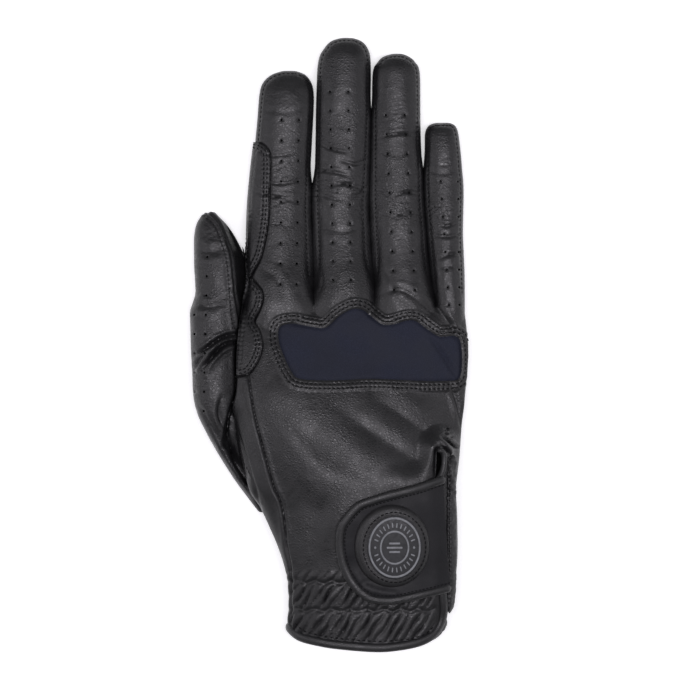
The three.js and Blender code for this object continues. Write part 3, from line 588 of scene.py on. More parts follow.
FOLDS: tuple[Fold, ...] = (
    # index finger
    Fold([(258, 151), (276, 156), (300, 151)], 1.1, 0.14),
    Fold([(262, 178), (280, 184), (304, 178)], 1.1, 0.18),
    Fold([(257, 192), (275, 197), (300, 198)], 1.1, 0.25),
    Fold([(272, 204), (290, 201), (306, 206)], 1.15, 0.15),
    Fold([(262, 218), (284, 226), (300, 224)], 1.58, 0.1),
    Fold([(266, 108), (286, 113), (306, 106)], 1.73, 0.08),
    Fold([(262, 268), (278, 280), (282, 300)], 2.16, 0.18),
    # middle finger
    Fold([(318, 143), (334, 150), (352, 152)], 1.1, 0.19),
    Fold([(340, 160), (356, 164), (368, 158)], 1.1, 0.19),
    Fold([(316, 170), (332, 172), (350, 176)], 1.1, 0.19),
    Fold([(328, 186), (346, 184), (366, 190)], 1.1, 0.21),
    Fold([(318, 190), (330, 198), (348, 200)], 1.1, 0.14),
    Fold([(350, 198), (360, 194), (367, 186)], 1.1, 0.18),
    Fold([(320, 118), (342, 126), (366, 118)], 1.58, 0.09),
    Fold([(322, 226), (342, 232), (362, 226)], 1.87, 0.1),
    Fold([(316, 296), (322, 284), (320, 268)], 1.73, 0.15),
    # ring finger
    Fold([(383, 137), (398, 134), (418, 134)], 1.1, 0.21),
    Fold([(376, 150), (394, 156), (416, 150)], 1.58, 0.1),
    Fold([(394, 196), (406, 192), (420, 194)], 1.1, 0.23),
    Fold([(378, 186), (388, 196), (396, 206)], 1.15, 0.14),
    Fold([(378, 212), (396, 216), (420, 212)], 1.44, 0.1),
    Fold([(376, 262), (388, 276), (396, 300)], 2.0, 0.11),
    # little finger
    Fold([(436, 222), (446, 226), (460, 222)], 1.1, 0.19),
    Fold([(432, 234), (446, 237), (462, 233)], 1.1, 0.21),
    Fold([(440, 258), (452, 254), (466, 255)], 1.1, 0.27),
    Fold([(438, 268), (450, 266), (462, 270)], 1.3, 0.11),
    Fold([(428, 170), (444, 174), (460, 168)], 1.3, 0.11),
    # knuckles and the back of the hand
    Fold([(376, 296), (400, 290), (424, 305), (446, 326), (464, 350)], 2.0, 0.28),
    Fold([(436, 306), (448, 322), (458, 338)], 1.6, 0.5),
    Fold([(430, 335), (444, 356), (458, 378)], 1.5, 0.55),
    Fold([(450, 384), (458, 404), (461, 428)], 1.5, 0.5),
    Fold([(372, 396), (408, 420), (440, 446)], 5.0, 0.55),
    Fold([(330, 402), (372, 432), (430, 470)], 7.0, 0.45),
    Fold([(286, 420), (320, 462), (372, 486)], 8.0, 0.35),
    Fold([(437, 444), (436.5, 454), (436.2, 464), (434.5, 477)], 2.6, 0.75),
    Fold([(441, 436), (448, 441), (459, 449)], 0.8, 0.9),
    Fold([(445, 445), (449.5, 448.5), (451.5, 454)], 1.3, -0.8),
    Fold([(441.5, 445.5), (445.5, 449), (448.5, 455)], 0.6, 0.7),
    Fold([(444, 429.5), (450, 428)], 0.5, 0.5),
    Fold([(443.5, 433.5), (451, 432.5)], 0.5, 0.5),
    Fold([(446, 438), (454, 437)], 0.5, 0.5),
    # thumb
    Fold([(235.3, 333.5), (224, 337), (214, 342.5), (206, 348.5), (195, 355)], 1.1, 0.8),
    Fold([(236, 337.5), (225, 340.5), (215.5, 347), (208, 354), (196, 364)], 1.4, -0.6),
    Fold([(236.5, 342), (226, 344), (217.6, 351), (211, 358.5), (202, 369.5)], 1.1, 0.95),
    Fold([(210, 352), (201, 359), (193, 371)], 1.1, 0.55),
    Fold([(232, 347), (221, 354), (212, 365), (204, 380)], 2.0, -0.4),
    Fold([(236.5, 342), (236.3, 368), (235.4, 394), (230, 411), (227, 424), (225.3, 446)], 1.3, 1.2),
    Fold([(229, 428), (227.6, 450), (234, 467), (246, 483.5), (257, 503)], 1.6, -0.6),
    Fold([(192, 246), (206, 252), (226, 250)], 2.4, 0.25),
    Fold([(190, 300), (210, 307), (232, 300)], 2.2, 0.3),
    Fold([(198, 404), (210, 424), (222, 444)], 2.0, 0.35),
    Fold([(222, 396), (219, 412), (223, 432)], 1.3, 0.45),
)


@dataclass(frozen=True)
class StitchRow:
    """A row of thread along a line in plan."""

    line: np.ndarray
    pitch: float = PITCH
    closed: bool = False


def finger_edge(tube: Tube, margin: float, first: float = 0.235) -> np.ndarray:
    """The line just inside a finger's edge: up its left side, round the tip and down its right side.

    Args:
        tube: the finger.
        margin: how far inside the edge the line runs, in millimetres.
        first: share of the finger's length where the line starts and ends.

    Returns:
        The line's points in plan.
    """
    rows = tube.smooth_columns(200)
    rows = rows[rows[:, 0] > first]
    y = tube.y + rows[:, 0] * tube.length
    left = np.column_stack((tube.x - rows[:, 1] * tube.width, y))
    right = np.column_stack((tube.x + rows[:, 2] * tube.width, y))[::-1]
    return inset(resample(np.vstack((left, right)), 0.6), -margin, closed=False)


class Lines:
    """Every seam, edge and row of thread on the glove, in plan."""

    knuckle = resample(plan(KNUCKLE_OUTLINE), 0.6, closed=True)
    patch = resample(plan(PATCH_EDGE), 0.6)
    wrap = resample(plan(WRAP_SEAM), 0.8)
    thumb_seam = resample(plan(THUMB_SEAM), 0.8)
    ridge = resample(plan(THUMB_RIDGE), 0.8)
    thumb_root = resample(plan(THUMB_ROOT), 0.8)
    strap = rounded(resample(plan(STRAP_OUTLINE), 0.6, closed=True), 14)
    strap_edge = resample(plan(STRAP_OUTLINE[:20]), 0.7)
    hem = resample(plan(HEM_CURVE), 0.8)
    finger_sides = [finger_edge(tube, 1.15) for tube in FINGERS]
    slit_top = plan([(440, 447), (438, 482)])
    slit = plan([(438.2, 451), (441.5, 520), (444.3, 600), (445.2, 660)])
    elastic = [plan([(270, 581), (470, 581)]), plan([(270, 609), (470, 609)])]


class Perforation:
    """The rows of small air holes down the fingers and the thumb."""

    @staticmethod
    def spots() -> np.ndarray:
        """Places of the holes in plan, in millimetres."""
        table = (
            (INDEX, 0.207, 0.815, 9, ((-0.06, -0.04), (0.21, 0.25))),
            (MIDDLE, 0.198, 0.819, 11, ((-0.165, -0.225), (0.165, 0.116))),
            (RING, 0.174, 0.784, 10, ((-0.08, -0.24), (0.33, 0.13))),
            (LITTLE, 0.18, 0.734, 8, ((0.15, -0.065), (0.43, 0.4))),
            (THUMB, 0.339, 0.85, 9, ((-0.385, -0.4), (-0.21, -0.145))),
        )
        spots = []
        for tube, first, last, rows, columns in table:
            for row in range(rows):
                share = row / (rows - 1)
                for start, end in columns:
                    spots.append((tube.x + (start + (end - start) * share) * tube.width,
                                  tube.y + (first + (last - first) * share) * tube.length))
        return np.array(spots)


@dataclass(frozen=True)
class Leather:
    """The relief pressed, sewn and folded into the leather."""

    wall: float = 1.0
    knuckle_lip: float = 0.5
    gather_pitch: float = 3.7
    gather_lean: float = 0.62
    gather_height: float = 1.3
    crest: tuple[float, float, float] = (440.0, 0.85, 308.0)  # down the plan, slant, and across the plan
    crest_step: float = 0.2925  # millimetres square to the crest for one step down the plan
    upper_sink: float = 7.6
    lower_sink: float = 2.2

    def folds(self, spots: np.ndarray) -> np.ndarray:
        """Relief of the creases and the soft rolls beside them.

        Args:
            spots: places in plan, in millimetres.

        Returns:
            The height at each place, in millimetres.
        """
        total = np.zeros(len(spots))
        for fold in FOLDS:
            line = resample(plan(fold.line), 1.2)
            gap, along = line_distance(spots, line, 3.2 * fold.width)
            length = float(np.sum(np.linalg.norm(np.diff(line, axis=0), axis=1)))
            fade = np.sin(np.pi * np.clip(along / length, 0.03, 0.97)) ** 0.6
            crease = 0.65 * bell(gap, fold.width * 0.36) + 0.5 * bell(gap, fold.width * 0.8)
            roll = 0.42 * bell(gap - fold.width * 1.3, fold.width * 0.65)
            total -= 1.35 * fold.depth * fade * (crease - roll)
        return total

    def gathers(self, spots: np.ndarray) -> np.ndarray:
        """Relief of the slanting puffs between the rows of elastic at the wrist.

        Args:
            spots: places in plan, in millimetres.

        Returns:
            The height at each place, in millimetres.
        """
        x, y = spots[:, 0], spots[:, 1]
        bands = ((-86.6, -91.0), (-91.0, -101.8), (-101.8, -114.4))
        total = np.zeros(len(spots))
        for number, (high, low) in enumerate(bands):
            share = np.clip((high - y) / (high - low), 0, 1)
            arch = np.sin(np.pi * share) ** 0.7 * ((y < high) & (y > low))
            wander = 0.7 * np.sin(0.31 * x + 2.1 * number) + 0.45 * np.sin(0.83 * x + 0.2 * y + number)
            phase = 2 * np.pi * (x - self.gather_lean * (y - low)) / self.gather_pitch + wander + number * 2.2
            ridge = np.abs(np.cos(phase / 2)) ** 0.45 * 1.25 - 0.95
            strength = self.gather_height * (0.5 if number == 0 else 1.0)
            total += strength * arch * ridge * (0.72 + 0.28 * np.sin(0.67 * x + 1.7 * number))
        for line in Lines.elastic:
            total -= 0.45 * bell(y - line[0, 1] - 0.5 * np.sin(0.95 * x), 0.8)
        return total * (1 - smoothstep(x, 39.5, 42.5))

    def sewn(self, spots: np.ndarray, heights: np.ndarray) -> np.ndarray:
        """Dips along seams and rows of thread, and the lip round the knuckle panel.

        Args:
            spots: places in plan, in millimetres.
            heights: how high each place lies.

        Returns:
            The height at each place, in millimetres.
        """
        total = np.zeros(len(spots))
        loop = np.vstack((Lines.knuckle, Lines.knuckle[:1]))
        gap, along = line_distance(spots, loop)
        outside = ~inside_outline(spots, Lines.knuckle)
        pull = 0.7 + 0.3 * np.cos(2 * np.pi * along / PITCH)
        lip = self.knuckle_lip * (1 - smoothstep(gap, 3.3, 4.4)) - 0.45 * bell(gap, 0.5)
        lip -= sum(0.42 * bell(gap - row, 0.48) * pull for row in KNUCKLE_ROWS)
        total += np.where(outside, lip, 0.0)
        for line in Lines.finger_sides:
            gap, along = line_distance(spots, line)
            total -= 0.24 * bell(gap, 0.45) * pucker(along)
        gap, _ = line_distance(spots, Lines.patch)
        total -= 0.5 * bell(gap, 0.6)
        upper = smoothstep(heights, 5.0, 9.0)
        seams = ((Lines.wrap, 0.95, 0.45), (Lines.thumb_seam, 0.6, 0.6), (Lines.slit, 0.6, 1.6))
        for line, depth, width in seams:
            gap, _ = line_distance(spots, line)
            below_patch = 1 - smoothstep(spots[:, 1], -12.0, -10.8) if line is Lines.wrap else 1.0
            total -= depth * bell(gap, width) * upper * below_patch
        gap, along = line_distance(spots, Lines.ridge)
        side = signed_side(spots, Lines.ridge)
        raised = 0.5 * bell(gap, 0.5) - 0.75 * bell(side - 1.0, 0.45)
        raised -= 0.35 * bell(side + 1.0, 0.4) * pucker(along, THUMB_PITCH)
        total += np.where(along < 56, raised, 0.0)
        for spot in Perforation.spots():
            away = np.hypot(spots[:, 0] - spot[0], spots[:, 1] - spot[1])
            close = away < 2.5
            total[close] -= 0.3 * bell(away[close], 0.75)
            below = np.hypot(spots[close, 0] - spot[0], spots[close, 1] - spot[1] + 1.1)
            total[close] += 0.12 * bell(below, 0.6)
        return total

    def rolls(self, spots: np.ndarray) -> np.ndarray:
        """Soft swellings that seams pull out of the leather beside them.

        Args:
            spots: places in plan, in millimetres.

        Returns:
            The height at each place, in millimetres.
        """
        total = np.zeros(len(spots))
        gap, along = line_distance(spots, Lines.ridge)
        total += 0.45 * bell(gap - 1.3, 0.9) * (along < 62)
        gap, _ = line_distance(spots, Lines.wrap)
        total += 0.25 * bell(gap - 1.3, 0.9) * (1 - smoothstep(spots[:, 1], -13.0, -11.0))
        return total

    def tucked(self, spots: np.ndarray) -> np.ndarray:
        """Draws the leather on both sides of the thumb's root together until only a crease is left.

        Args:
            spots: points of the skin, in millimetres.

        Returns:
            The moved points.
        """
        order = np.argsort(Lines.thumb_root[:, 1])
        line = Lines.thumb_root[order]
        middle = np.interp(spots[:, 1], line[:, 1], line[:, 0])
        away = spots[:, 0] - middle
        low, high = line[0, 1], line[-1, 1]
        along = smoothstep(spots[:, 1], low, low + 6) * (1 - smoothstep(spots[:, 1], high - 1, high + 6))
        moved = spots.copy()
        moved[:, 0] = middle + away * (1 - 0.72 * bell(away, 2.4) * along * smoothstep(spots[:, 2], 1.5, 5.0))
        return moved

    def basin(self, spots: np.ndarray) -> np.ndarray:
        """How far the back of the hand lies below its crest, which slants from the thumb to the strap.

        Args:
            spots: places in plan, in millimetres.

        Returns:
            The depth below the crest at each place, in millimetres.
        """
        x, y = PLAN_X + spots[:, 0] / STEP, PLAN_Y - spots[:, 1] / STEP
        start, slant, across = self.crest
        above = (start + slant * (x - across) - y) * self.crest_step
        upper = self.upper_sink * smoothstep(above, 0.0, 47.0) * smoothstep(y, 268, 368)
        lower = self.lower_sink * smoothstep(-above, 1.0, 20.0) * (1 - smoothstep(y, 500, 575))
        lower *= smoothstep(y, 372, 420)
        total = (upper + lower) * smoothstep(x, 243, 282) * (1 - 0.15 * smoothstep(x, 445, 466))
        near = np.flatnonzero((spots[:, 0] > -10) & (spots[:, 1] < -30) & (spots[:, 1] > -115))
        strap, _ = line_distance(spots[near], np.vstack((Lines.strap, Lines.strap[:1])), 11.0)
        strap[inside_outline(spots[near], Lines.strap)] = 0.0
        loop, _ = line_distance(spots[near], Lines.slit_top, 10.0)
        total[near] *= smoothstep(strap, 0.5, 10.0) * smoothstep(loop, 1.5, 9.5)
        return total

    def inner_slope(self, spots: np.ndarray, heights: np.ndarray) -> np.ndarray:
        """How far the thumb's side that faces the hand falls away below its ridge.

        Args:
            spots: places in plan, in millimetres.
            heights: how high each place lies.

        Returns:
            The fall at each place, in millimetres.
        """
        side = signed_side(spots, Lines.ridge, 12.0)
        fall = 6.5 * smoothstep(side, 0.2, 5.0) * (side < 11.5) * smoothstep(heights, 5.0, 11.0)
        seam = signed_side(spots, Lines.thumb_seam, 8.0)
        fall *= 1 - smoothstep(seam, -0.4, 0.4)
        return fall * smoothstep(spots[:, 1], -14, -4) * (1 - smoothstep(spots[:, 1], 42, 50))

    def creases(self, places: np.ndarray) -> np.ndarray:
        """Fine creases that run across the fingers and the thumb where they bend."""
        result = np.zeros(len(places))
        x, y = places[:, 0], places[:, 1]
        bend = 0.22 + 0.95 * bell(y - 55, 14) + 0.3 * bell(y - 84, 9)
        fingers = smoothstep(y, 8, 20) * (x > THUMB_SIDE) * bend
        thumb = (x < THUMB_SIDE) * smoothstep(y, -40, -20) * 0.9
        mask = fingers + thumb
        for i in np.flatnonzero(mask > 0.02):
            px, py = x[i], y[i]
            warp = noise.noise(Vector((px * 0.12, py * 0.12, 3.0))) * 2.4
            first = 1 - abs(noise.noise(Vector((px * 0.13, (py + warp) * 0.68, 11.0)))) * 3.2
            second = 1 - abs(noise.noise(Vector((px * 0.3 + 5, (py + warp) * 1.25, 23.0)))) * 3.0
            here = 0.5 + 0.5 * noise.noise(Vector((px * 0.13, py * 0.09, 31.0)))
            share = min(1.0, max(0.0, here * 2 - 0.5))
            result[i] = -(0.21 * max(first, 0) ** 3 + 0.13 * max(second, 0) ** 3) * share
        return result * mask

    def undulation(self, places: np.ndarray) -> np.ndarray:
        """Small waves that keep the leather from looking moulded."""
        result = np.empty(len(places))
        for i, (x, y, z) in enumerate(places):
            broad = noise.noise(Vector((x * 0.085, y * 0.07, z * 0.09)))
            fine = noise.noise(Vector((x * 0.31 + 7.0, y * 0.24, z * 0.3)))
            tiny = noise.noise(Vector((x * 0.85, y * 0.75 + 3.0, z * 0.8)))
            result[i] = 0.26 * broad + 0.08 * fine + 0.02 * tiny
        return result


def mesh_arrays(mesh: bpy.types.Mesh) -> tuple[np.ndarray, np.ndarray]:
    """Reads a mesh's vertices in millimetres and its vertex normals."""
    count = len(mesh.vertices)
    spots = np.empty(count * 3)
    mesh.vertices.foreach_get("co", spots)
    normals = np.empty(count * 3)
    mesh.vertex_normals.foreach_get("vector", normals)
    return spots.reshape(-1, 3) / MM, normals.reshape(-1, 3)


def write_spots(mesh: bpy.types.Mesh, spots: np.ndarray) -> None:
    """Writes vertices given in millimetres back to a mesh."""
    mesh.vertices.foreach_set("co", (spots * MM).ravel())
    mesh.update()


def new_object(name: str, mesh: bpy.types.Mesh) -> bpy.types.Object:
    """Adds a mesh to the scene as an object at the origin."""
    thing = bpy.data.objects.new(name, mesh)
    bpy.context.scene.collection.objects.link(thing)
    return thing


def from_bmesh(name: str, bm: bmesh.types.BMesh) -> bpy.types.Object:
    """Turns a bmesh into an object and frees it."""
    mesh = bpy.data.meshes.new(name)
    bm.to_mesh(mesh)
    bm.free()
    return new_object(name, mesh)


def bake(thing: bpy.types.Object) -> None:
    """Applies an object's modifiers to its mesh."""
    graph = bpy.context.evaluated_depsgraph_get()
    graph.update()
    mesh = bpy.data.meshes.new_from_object(thing.evaluated_get(graph))
    old = thing.data
    thing.modifiers.clear()
    thing.data = mesh
    bpy.data.meshes.remove(old)


def discard(*things: bpy.types.Object) -> None:
    """Removes helper objects and their meshes."""
    for thing in things:
        mesh = thing.data
        bpy.data.objects.remove(thing)
        if mesh is not None and mesh.users == 0:
            bpy.data.meshes.remove(mesh)


class Cut(Enum):
    """How one solid acts on another."""

    KEEP = "INTERSECT"
    REMOVE = "DIFFERENCE"


def combine(thing: bpy.types.Object, tool: bpy.types.Object, how: Cut) -> None:
    """Cuts a solid with another and keeps the result.

    Args:
        thing: the solid that changes.
        tool: the solid that acts on it.
        how: whether to keep what both have, or to remove the tool.
    """
    modifier = thing.modifiers.new("cut", "BOOLEAN")
    modifier.operation = how.value
    modifier.solver = "MANIFOLD"
    modifier.object = tool
    bake(thing)


def thin_out(thing: bpy.types.Object, most: int) -> None:
    """Merges the plainest faces of a piece until no more than the given number of triangles is left."""
    count = sum(len(face.vertices) - 2 for face in thing.data.polygons)
    if count > most:
        modifier = thing.modifiers.new("thin", "DECIMATE")
        modifier.ratio = most / count
        bake(thing)


def prism(name: str, outline: np.ndarray, low: float, high: float = ABOVE_ALL) -> bpy.types.Object:
    """Stands a solid on an outline in plan.

    Args:
        name: the solid's name.
        outline: the outline's points in millimetres.
        low: height of its underside.
        high: height of its top.

    Returns:
        The solid.
    """
    bm = bmesh.new()
    verts = [bm.verts.new(Vector((x, y, low)) * MM) for x, y in outline]
    face = bm.faces.new(verts)
    made = bmesh.ops.extrude_face_region(bm, geom=[face])
    top = [item for item in made["geom"] if isinstance(item, bmesh.types.BMVert)]
    bmesh.ops.translate(bm, verts=top, vec=Vector((0, 0, (high - low) * MM)))
    bmesh.ops.triangulate(bm, faces=bm.faces)
    bmesh.ops.recalc_face_normals(bm, faces=bm.faces)
    return from_bmesh(name, bm)


@dataclass
class GloveSkin:
    """The blended skin of the whole glove, before it is cut into its pieces."""

    spread: Spread = field(default_factory=Spread)
    leather: Leather = field(default_factory=Leather)

    def blended(self, name: str, offset: float, voxel: float, rounds: int) -> bpy.types.Object:
        """Blends the hand, fingers and thumb into one skin.

        Args:
            name: the object's name.
            offset: how far the skin is moved outwards, in millimetres.
            voxel: size of the blend's cells, in millimetres.
            rounds: how often the skin is smoothed.

        Returns:
            The skin, with the fingers still spread.
        """
        bm = bmesh.new()
        tubes = ((HAND, 96, 110), *((finger, 40, 80) for finger in FINGERS), (THUMB, 44, 90), (WEB, 30, 30))
        for tube, sides, rings in tubes:
            part = tube.build(offset, sides, rings)
            mesh = bpy.data.meshes.new("tube")
            part.to_mesh(mesh)
            part.free()
            spots, _ = mesh_arrays(mesh)
            if tube in FINGERS:
                spots[:, 0] += self.spread.finger_shift(FINGERS.index(tube), spots[:, 1])
            if tube is THUMB:
                spots[:, 0] += self.spread.thumb_move(spots[:, 1])
            write_spots(mesh, spots)
            bm.from_mesh(mesh)
            bpy.data.meshes.remove(mesh)
        skin = from_bmesh(name, bm)
        remesh = skin.modifiers.new("blend", "REMESH")
        remesh.mode = "VOXEL"
        remesh.voxel_size = voxel * MM
        remesh.adaptivity = 0
        smooth = skin.modifiers.new("smooth", "SMOOTH")
        smooth.factor = 0.5
        smooth.iterations = rounds
        bake(skin)
        return skin

    def close(self, skin: bpy.types.Object) -> None:
        """Brings the spread fingers together again."""
        spots, _ = mesh_arrays(skin.data)
        write_spots(skin.data, self.spread.close(spots))

    def outer(self) -> bpy.types.Object:
        """Makes the outer skin with all its folds, seams and gathers."""
        skin = self.blended("outer_skin", 0.12, VOXEL, 7)
        self.close(skin)
        spots, normals = mesh_arrays(skin.data)
        flat = spots[:, :2]
        upper = smoothstep(normals[:, 2], -0.15, 0.35)
        low = smoothstep(spots[:, 2], 0.0, 1.2)
        push = (self.leather.folds(flat) + self.leather.sewn(flat, spots[:, 2])) * upper
        push += (self.leather.gathers(flat) + self.leather.rolls(flat)) * upper
        push += self.leather.undulation(spots) * (0.25 + 0.75 * upper) * low
        push += self.leather.creases(spots) * upper
        moved = spots + normals * push[:, None]
        moved[:, 2] -= self.leather.inner_slope(flat, spots[:, 2])
        moved[:, 2] -= self.leather.basin(flat) * smoothstep(spots[:, 2], 6.0, 23.0)
        moved = self.leather.tucked(moved)
        moved[:, 2] = np.maximum(moved[:, 2], 0.0)
        write_spots(skin.data, moved)
        return skin

    def inner(self) -> bpy.types.Object:
        """Makes the lining side of the leather, open at the wrist."""
        skin = self.blended("inner_skin", -self.leather.wall, max(VOXEL, 1.1), 3)
        self.close(skin)
        spots, normals = mesh_arrays(skin.data)
        upper = smoothstep(normals[:, 2], -0.15, 0.35)
        push = self.leather.folds(spots[:, :2]) * upper * 0.85 - 0.15
        moved = spots + normals * push[:, None]
        moved[:, 2] -= self.leather.inner_slope(spots[:, :2], spots[:, 2])
        moved[:, 2] -= self.leather.basin(spots[:, :2]) * smoothstep(spots[:, 2], 4.9, 21.9)
        moved[:, 2] = np.maximum(moved[:, 2], self.leather.wall * 0.9)
        write_spots(skin.data, moved)
        return skin


def copy_of(thing: bpy.types.Object, name: str) -> bpy.types.Object:
    """Copies an object together with its mesh."""
    return new_object(name, thing.data.copy())


def box_prism(name: str, low: tuple[float, ...], high: tuple[float, ...]) -> bpy.types.Object:
    """Makes a block between two corners, in millimetres."""
    outline = np.array([(low[0], low[1]), (high[0], low[1]), (high[0], high[1]), (low[0], high[1])])
    return prism(name, outline, low[2], high[2])


def swept(name: str, path: np.ndarray, ups: np.ndarray, width: float, height: float,
          sides: int = 16) -> bpy.types.Object:
    """Sweeps a rounded bar along a path.

    Args:
        name: the bar's name.
        path: points of its middle line, in millimetres.
        ups: the direction away from the glove at each point.
        width: size across the path and across the ups.
        height: size along the ups.
        sides: points round the bar.

    Returns:
        The bar as an object.
    """
    rings = len(path)
    bm, spots, ring, radius = ringed_bar(sides, rings)
    tangent = np.gradient(path, axis=0)
    tangent /= np.linalg.norm(tangent, axis=1)[:, None]
    side = np.cross(tangent, ups)
    side /= np.linalg.norm(side, axis=1)[:, None]
    lift = np.cross(side, tangent)
    turn = np.arctan2(spots[:, 1], spots[:, 0])
    step = float(np.mean(np.linalg.norm(np.diff(path, axis=0), axis=1)))
    end = np.minimum(ring, rings - 1 - ring) * step / (width / 2)
    radius = radius * np.sqrt(np.clip(1 - (1 - np.clip(end + 0.08, 0, 1)) ** 2, 0, 1))
    across = np.sign(np.cos(turn)) * np.abs(np.cos(turn)) ** 0.85 * radius * width / 2
    rise = np.sign(np.sin(turn)) * np.abs(np.sin(turn)) ** 0.85 * radius * height / 2
    put(bm, path[ring] + side[ring] * across[:, None] + lift[ring] * rise[:, None])
    bmesh.ops.remove_doubles(bm, verts=bm.verts, dist=1e-6)
    bmesh.ops.recalc_face_normals(bm, faces=bm.faces)
    return from_bmesh(name, bm)


def hand_frame(flat: np.ndarray, offset: float) -> tuple[np.ndarray, np.ndarray]:
    """Places points on the smooth back of the hand, with the direction away from it.

    Args:
        flat: places in plan, in millimetres.
        offset: how far above the hand's skin they lie.

    Returns:
        The points and the directions.
    """
    def rise(x: np.ndarray, y: np.ndarray) -> np.ndarray:
        return HAND.top_height(x, y, offset)

    x, y = flat[:, 0], flat[:, 1]
    z = rise(x, y)
    slope_x = (rise(x + 0.4, y) - rise(x - 0.4, y)) / 0.8
    slope_y = (rise(x, y + 0.4) - rise(x, y - 0.4)) / 0.8
    ups = np.column_stack((-np.clip(slope_x, -6, 6), -slope_y, np.ones(len(x))))
    ups /= np.linalg.norm(ups, axis=1)[:, None]
    return np.column_stack((x, y, z)), ups


def hand_layer(name: str, outline: np.ndarray, low: float, high: float) -> bpy.types.Object:
    """Cuts a layer that lies on the back of the hand.

    Args:
        name: the layer's name.
        outline: its outline in plan, in millimetres.
        low: height of its underside above the hand's skin.
        high: height of its face above the hand's skin.

    Returns:
        The layer.
    """
    layer = from_bmesh(name, HAND.build(high, 300, 260))
    under = from_bmesh("under", HAND.build(low, 120, 140))
    cutter = prism("cutter", outline, 8.0)
    combine(layer, under, Cut.REMOVE)
    combine(layer, cutter, Cut.KEEP)
    discard(under, cutter)
    return layer


class Surface:
    """A skin that thread is laid on from above."""

    def __init__(self, *things: bpy.types.Object) -> None:
        """Gathers the faces of one or more pieces."""
        bm = bmesh.new()
        for thing in things:
            bm.from_mesh(thing.data)
        self.tree = BVHTree.FromBMesh(bm)
        bm.free()

    def drop(self, x: float, y: float) -> tuple[Vector, Vector] | None:
        """Finds the spot, in metres, under a place in plan in millimetres, or None beside the surface."""
        spot, normal, _, _ = self.tree.ray_cast(Vector((x * MM, y * MM, 0.2)), Vector((0, 0, -1)))
        return None if spot is None else (spot, normal)


def stitches(name: str, rows: list[StitchRow], surface: Surface, size: Pair) -> bpy.types.Object:
    """Lays rows of thread on a surface.

    Args:
        name: the piece's name.
        rows: the rows of thread.
        surface: what the thread lies on.
        size: length and width of one stitch, in millimetres.

    Returns:
        All the stitches as one piece.
    """
    bm = bmesh.new()
    for row in rows:
        spots = resample(row.line, row.pitch, row.closed)
        count = len(spots)
        for i in range(count):
            if row.closed:
                a, b = spots[i - 1], spots[(i + 1) % count]
            else:
                a, b = spots[max(i - 1, 0)], spots[min(i + 1, count - 1)]
            found = surface.drop(*spots[i])
            if found is None or found[1].z < 0.12:
                continue
            spot, normal = found
            along = Vector((b[0] - a[0], b[1] - a[1], 0))
            along = (along - normal * along.dot(normal)).normalized()
            side = along.cross(normal).normalized()
            turn = Matrix((side, normal, along)).transposed().to_4x4()
            place = Matrix.Translation(spot + normal * (size[1] * 0.2 - THREAD_SINK) * MM)
            half = Matrix.Diagonal((size[1] / 2 * MM, size[1] * 0.42 * MM, size[0] / 2 * MM, 1))
            bmesh.ops.create_uvsphere(bm, u_segments=6, v_segments=4, radius=1, matrix=place @ turn @ half)
    return from_bmesh(name, bm)


@dataclass(frozen=True)
class Socket:
    """Names of the shader's sockets that the finishes set."""

    colour: str = "Base Color"
    roughness: str = "Roughness"
    normal: str = "Normal"
    sheen: str = "Sheen Weight"
    specular: str = "Specular IOR Level"


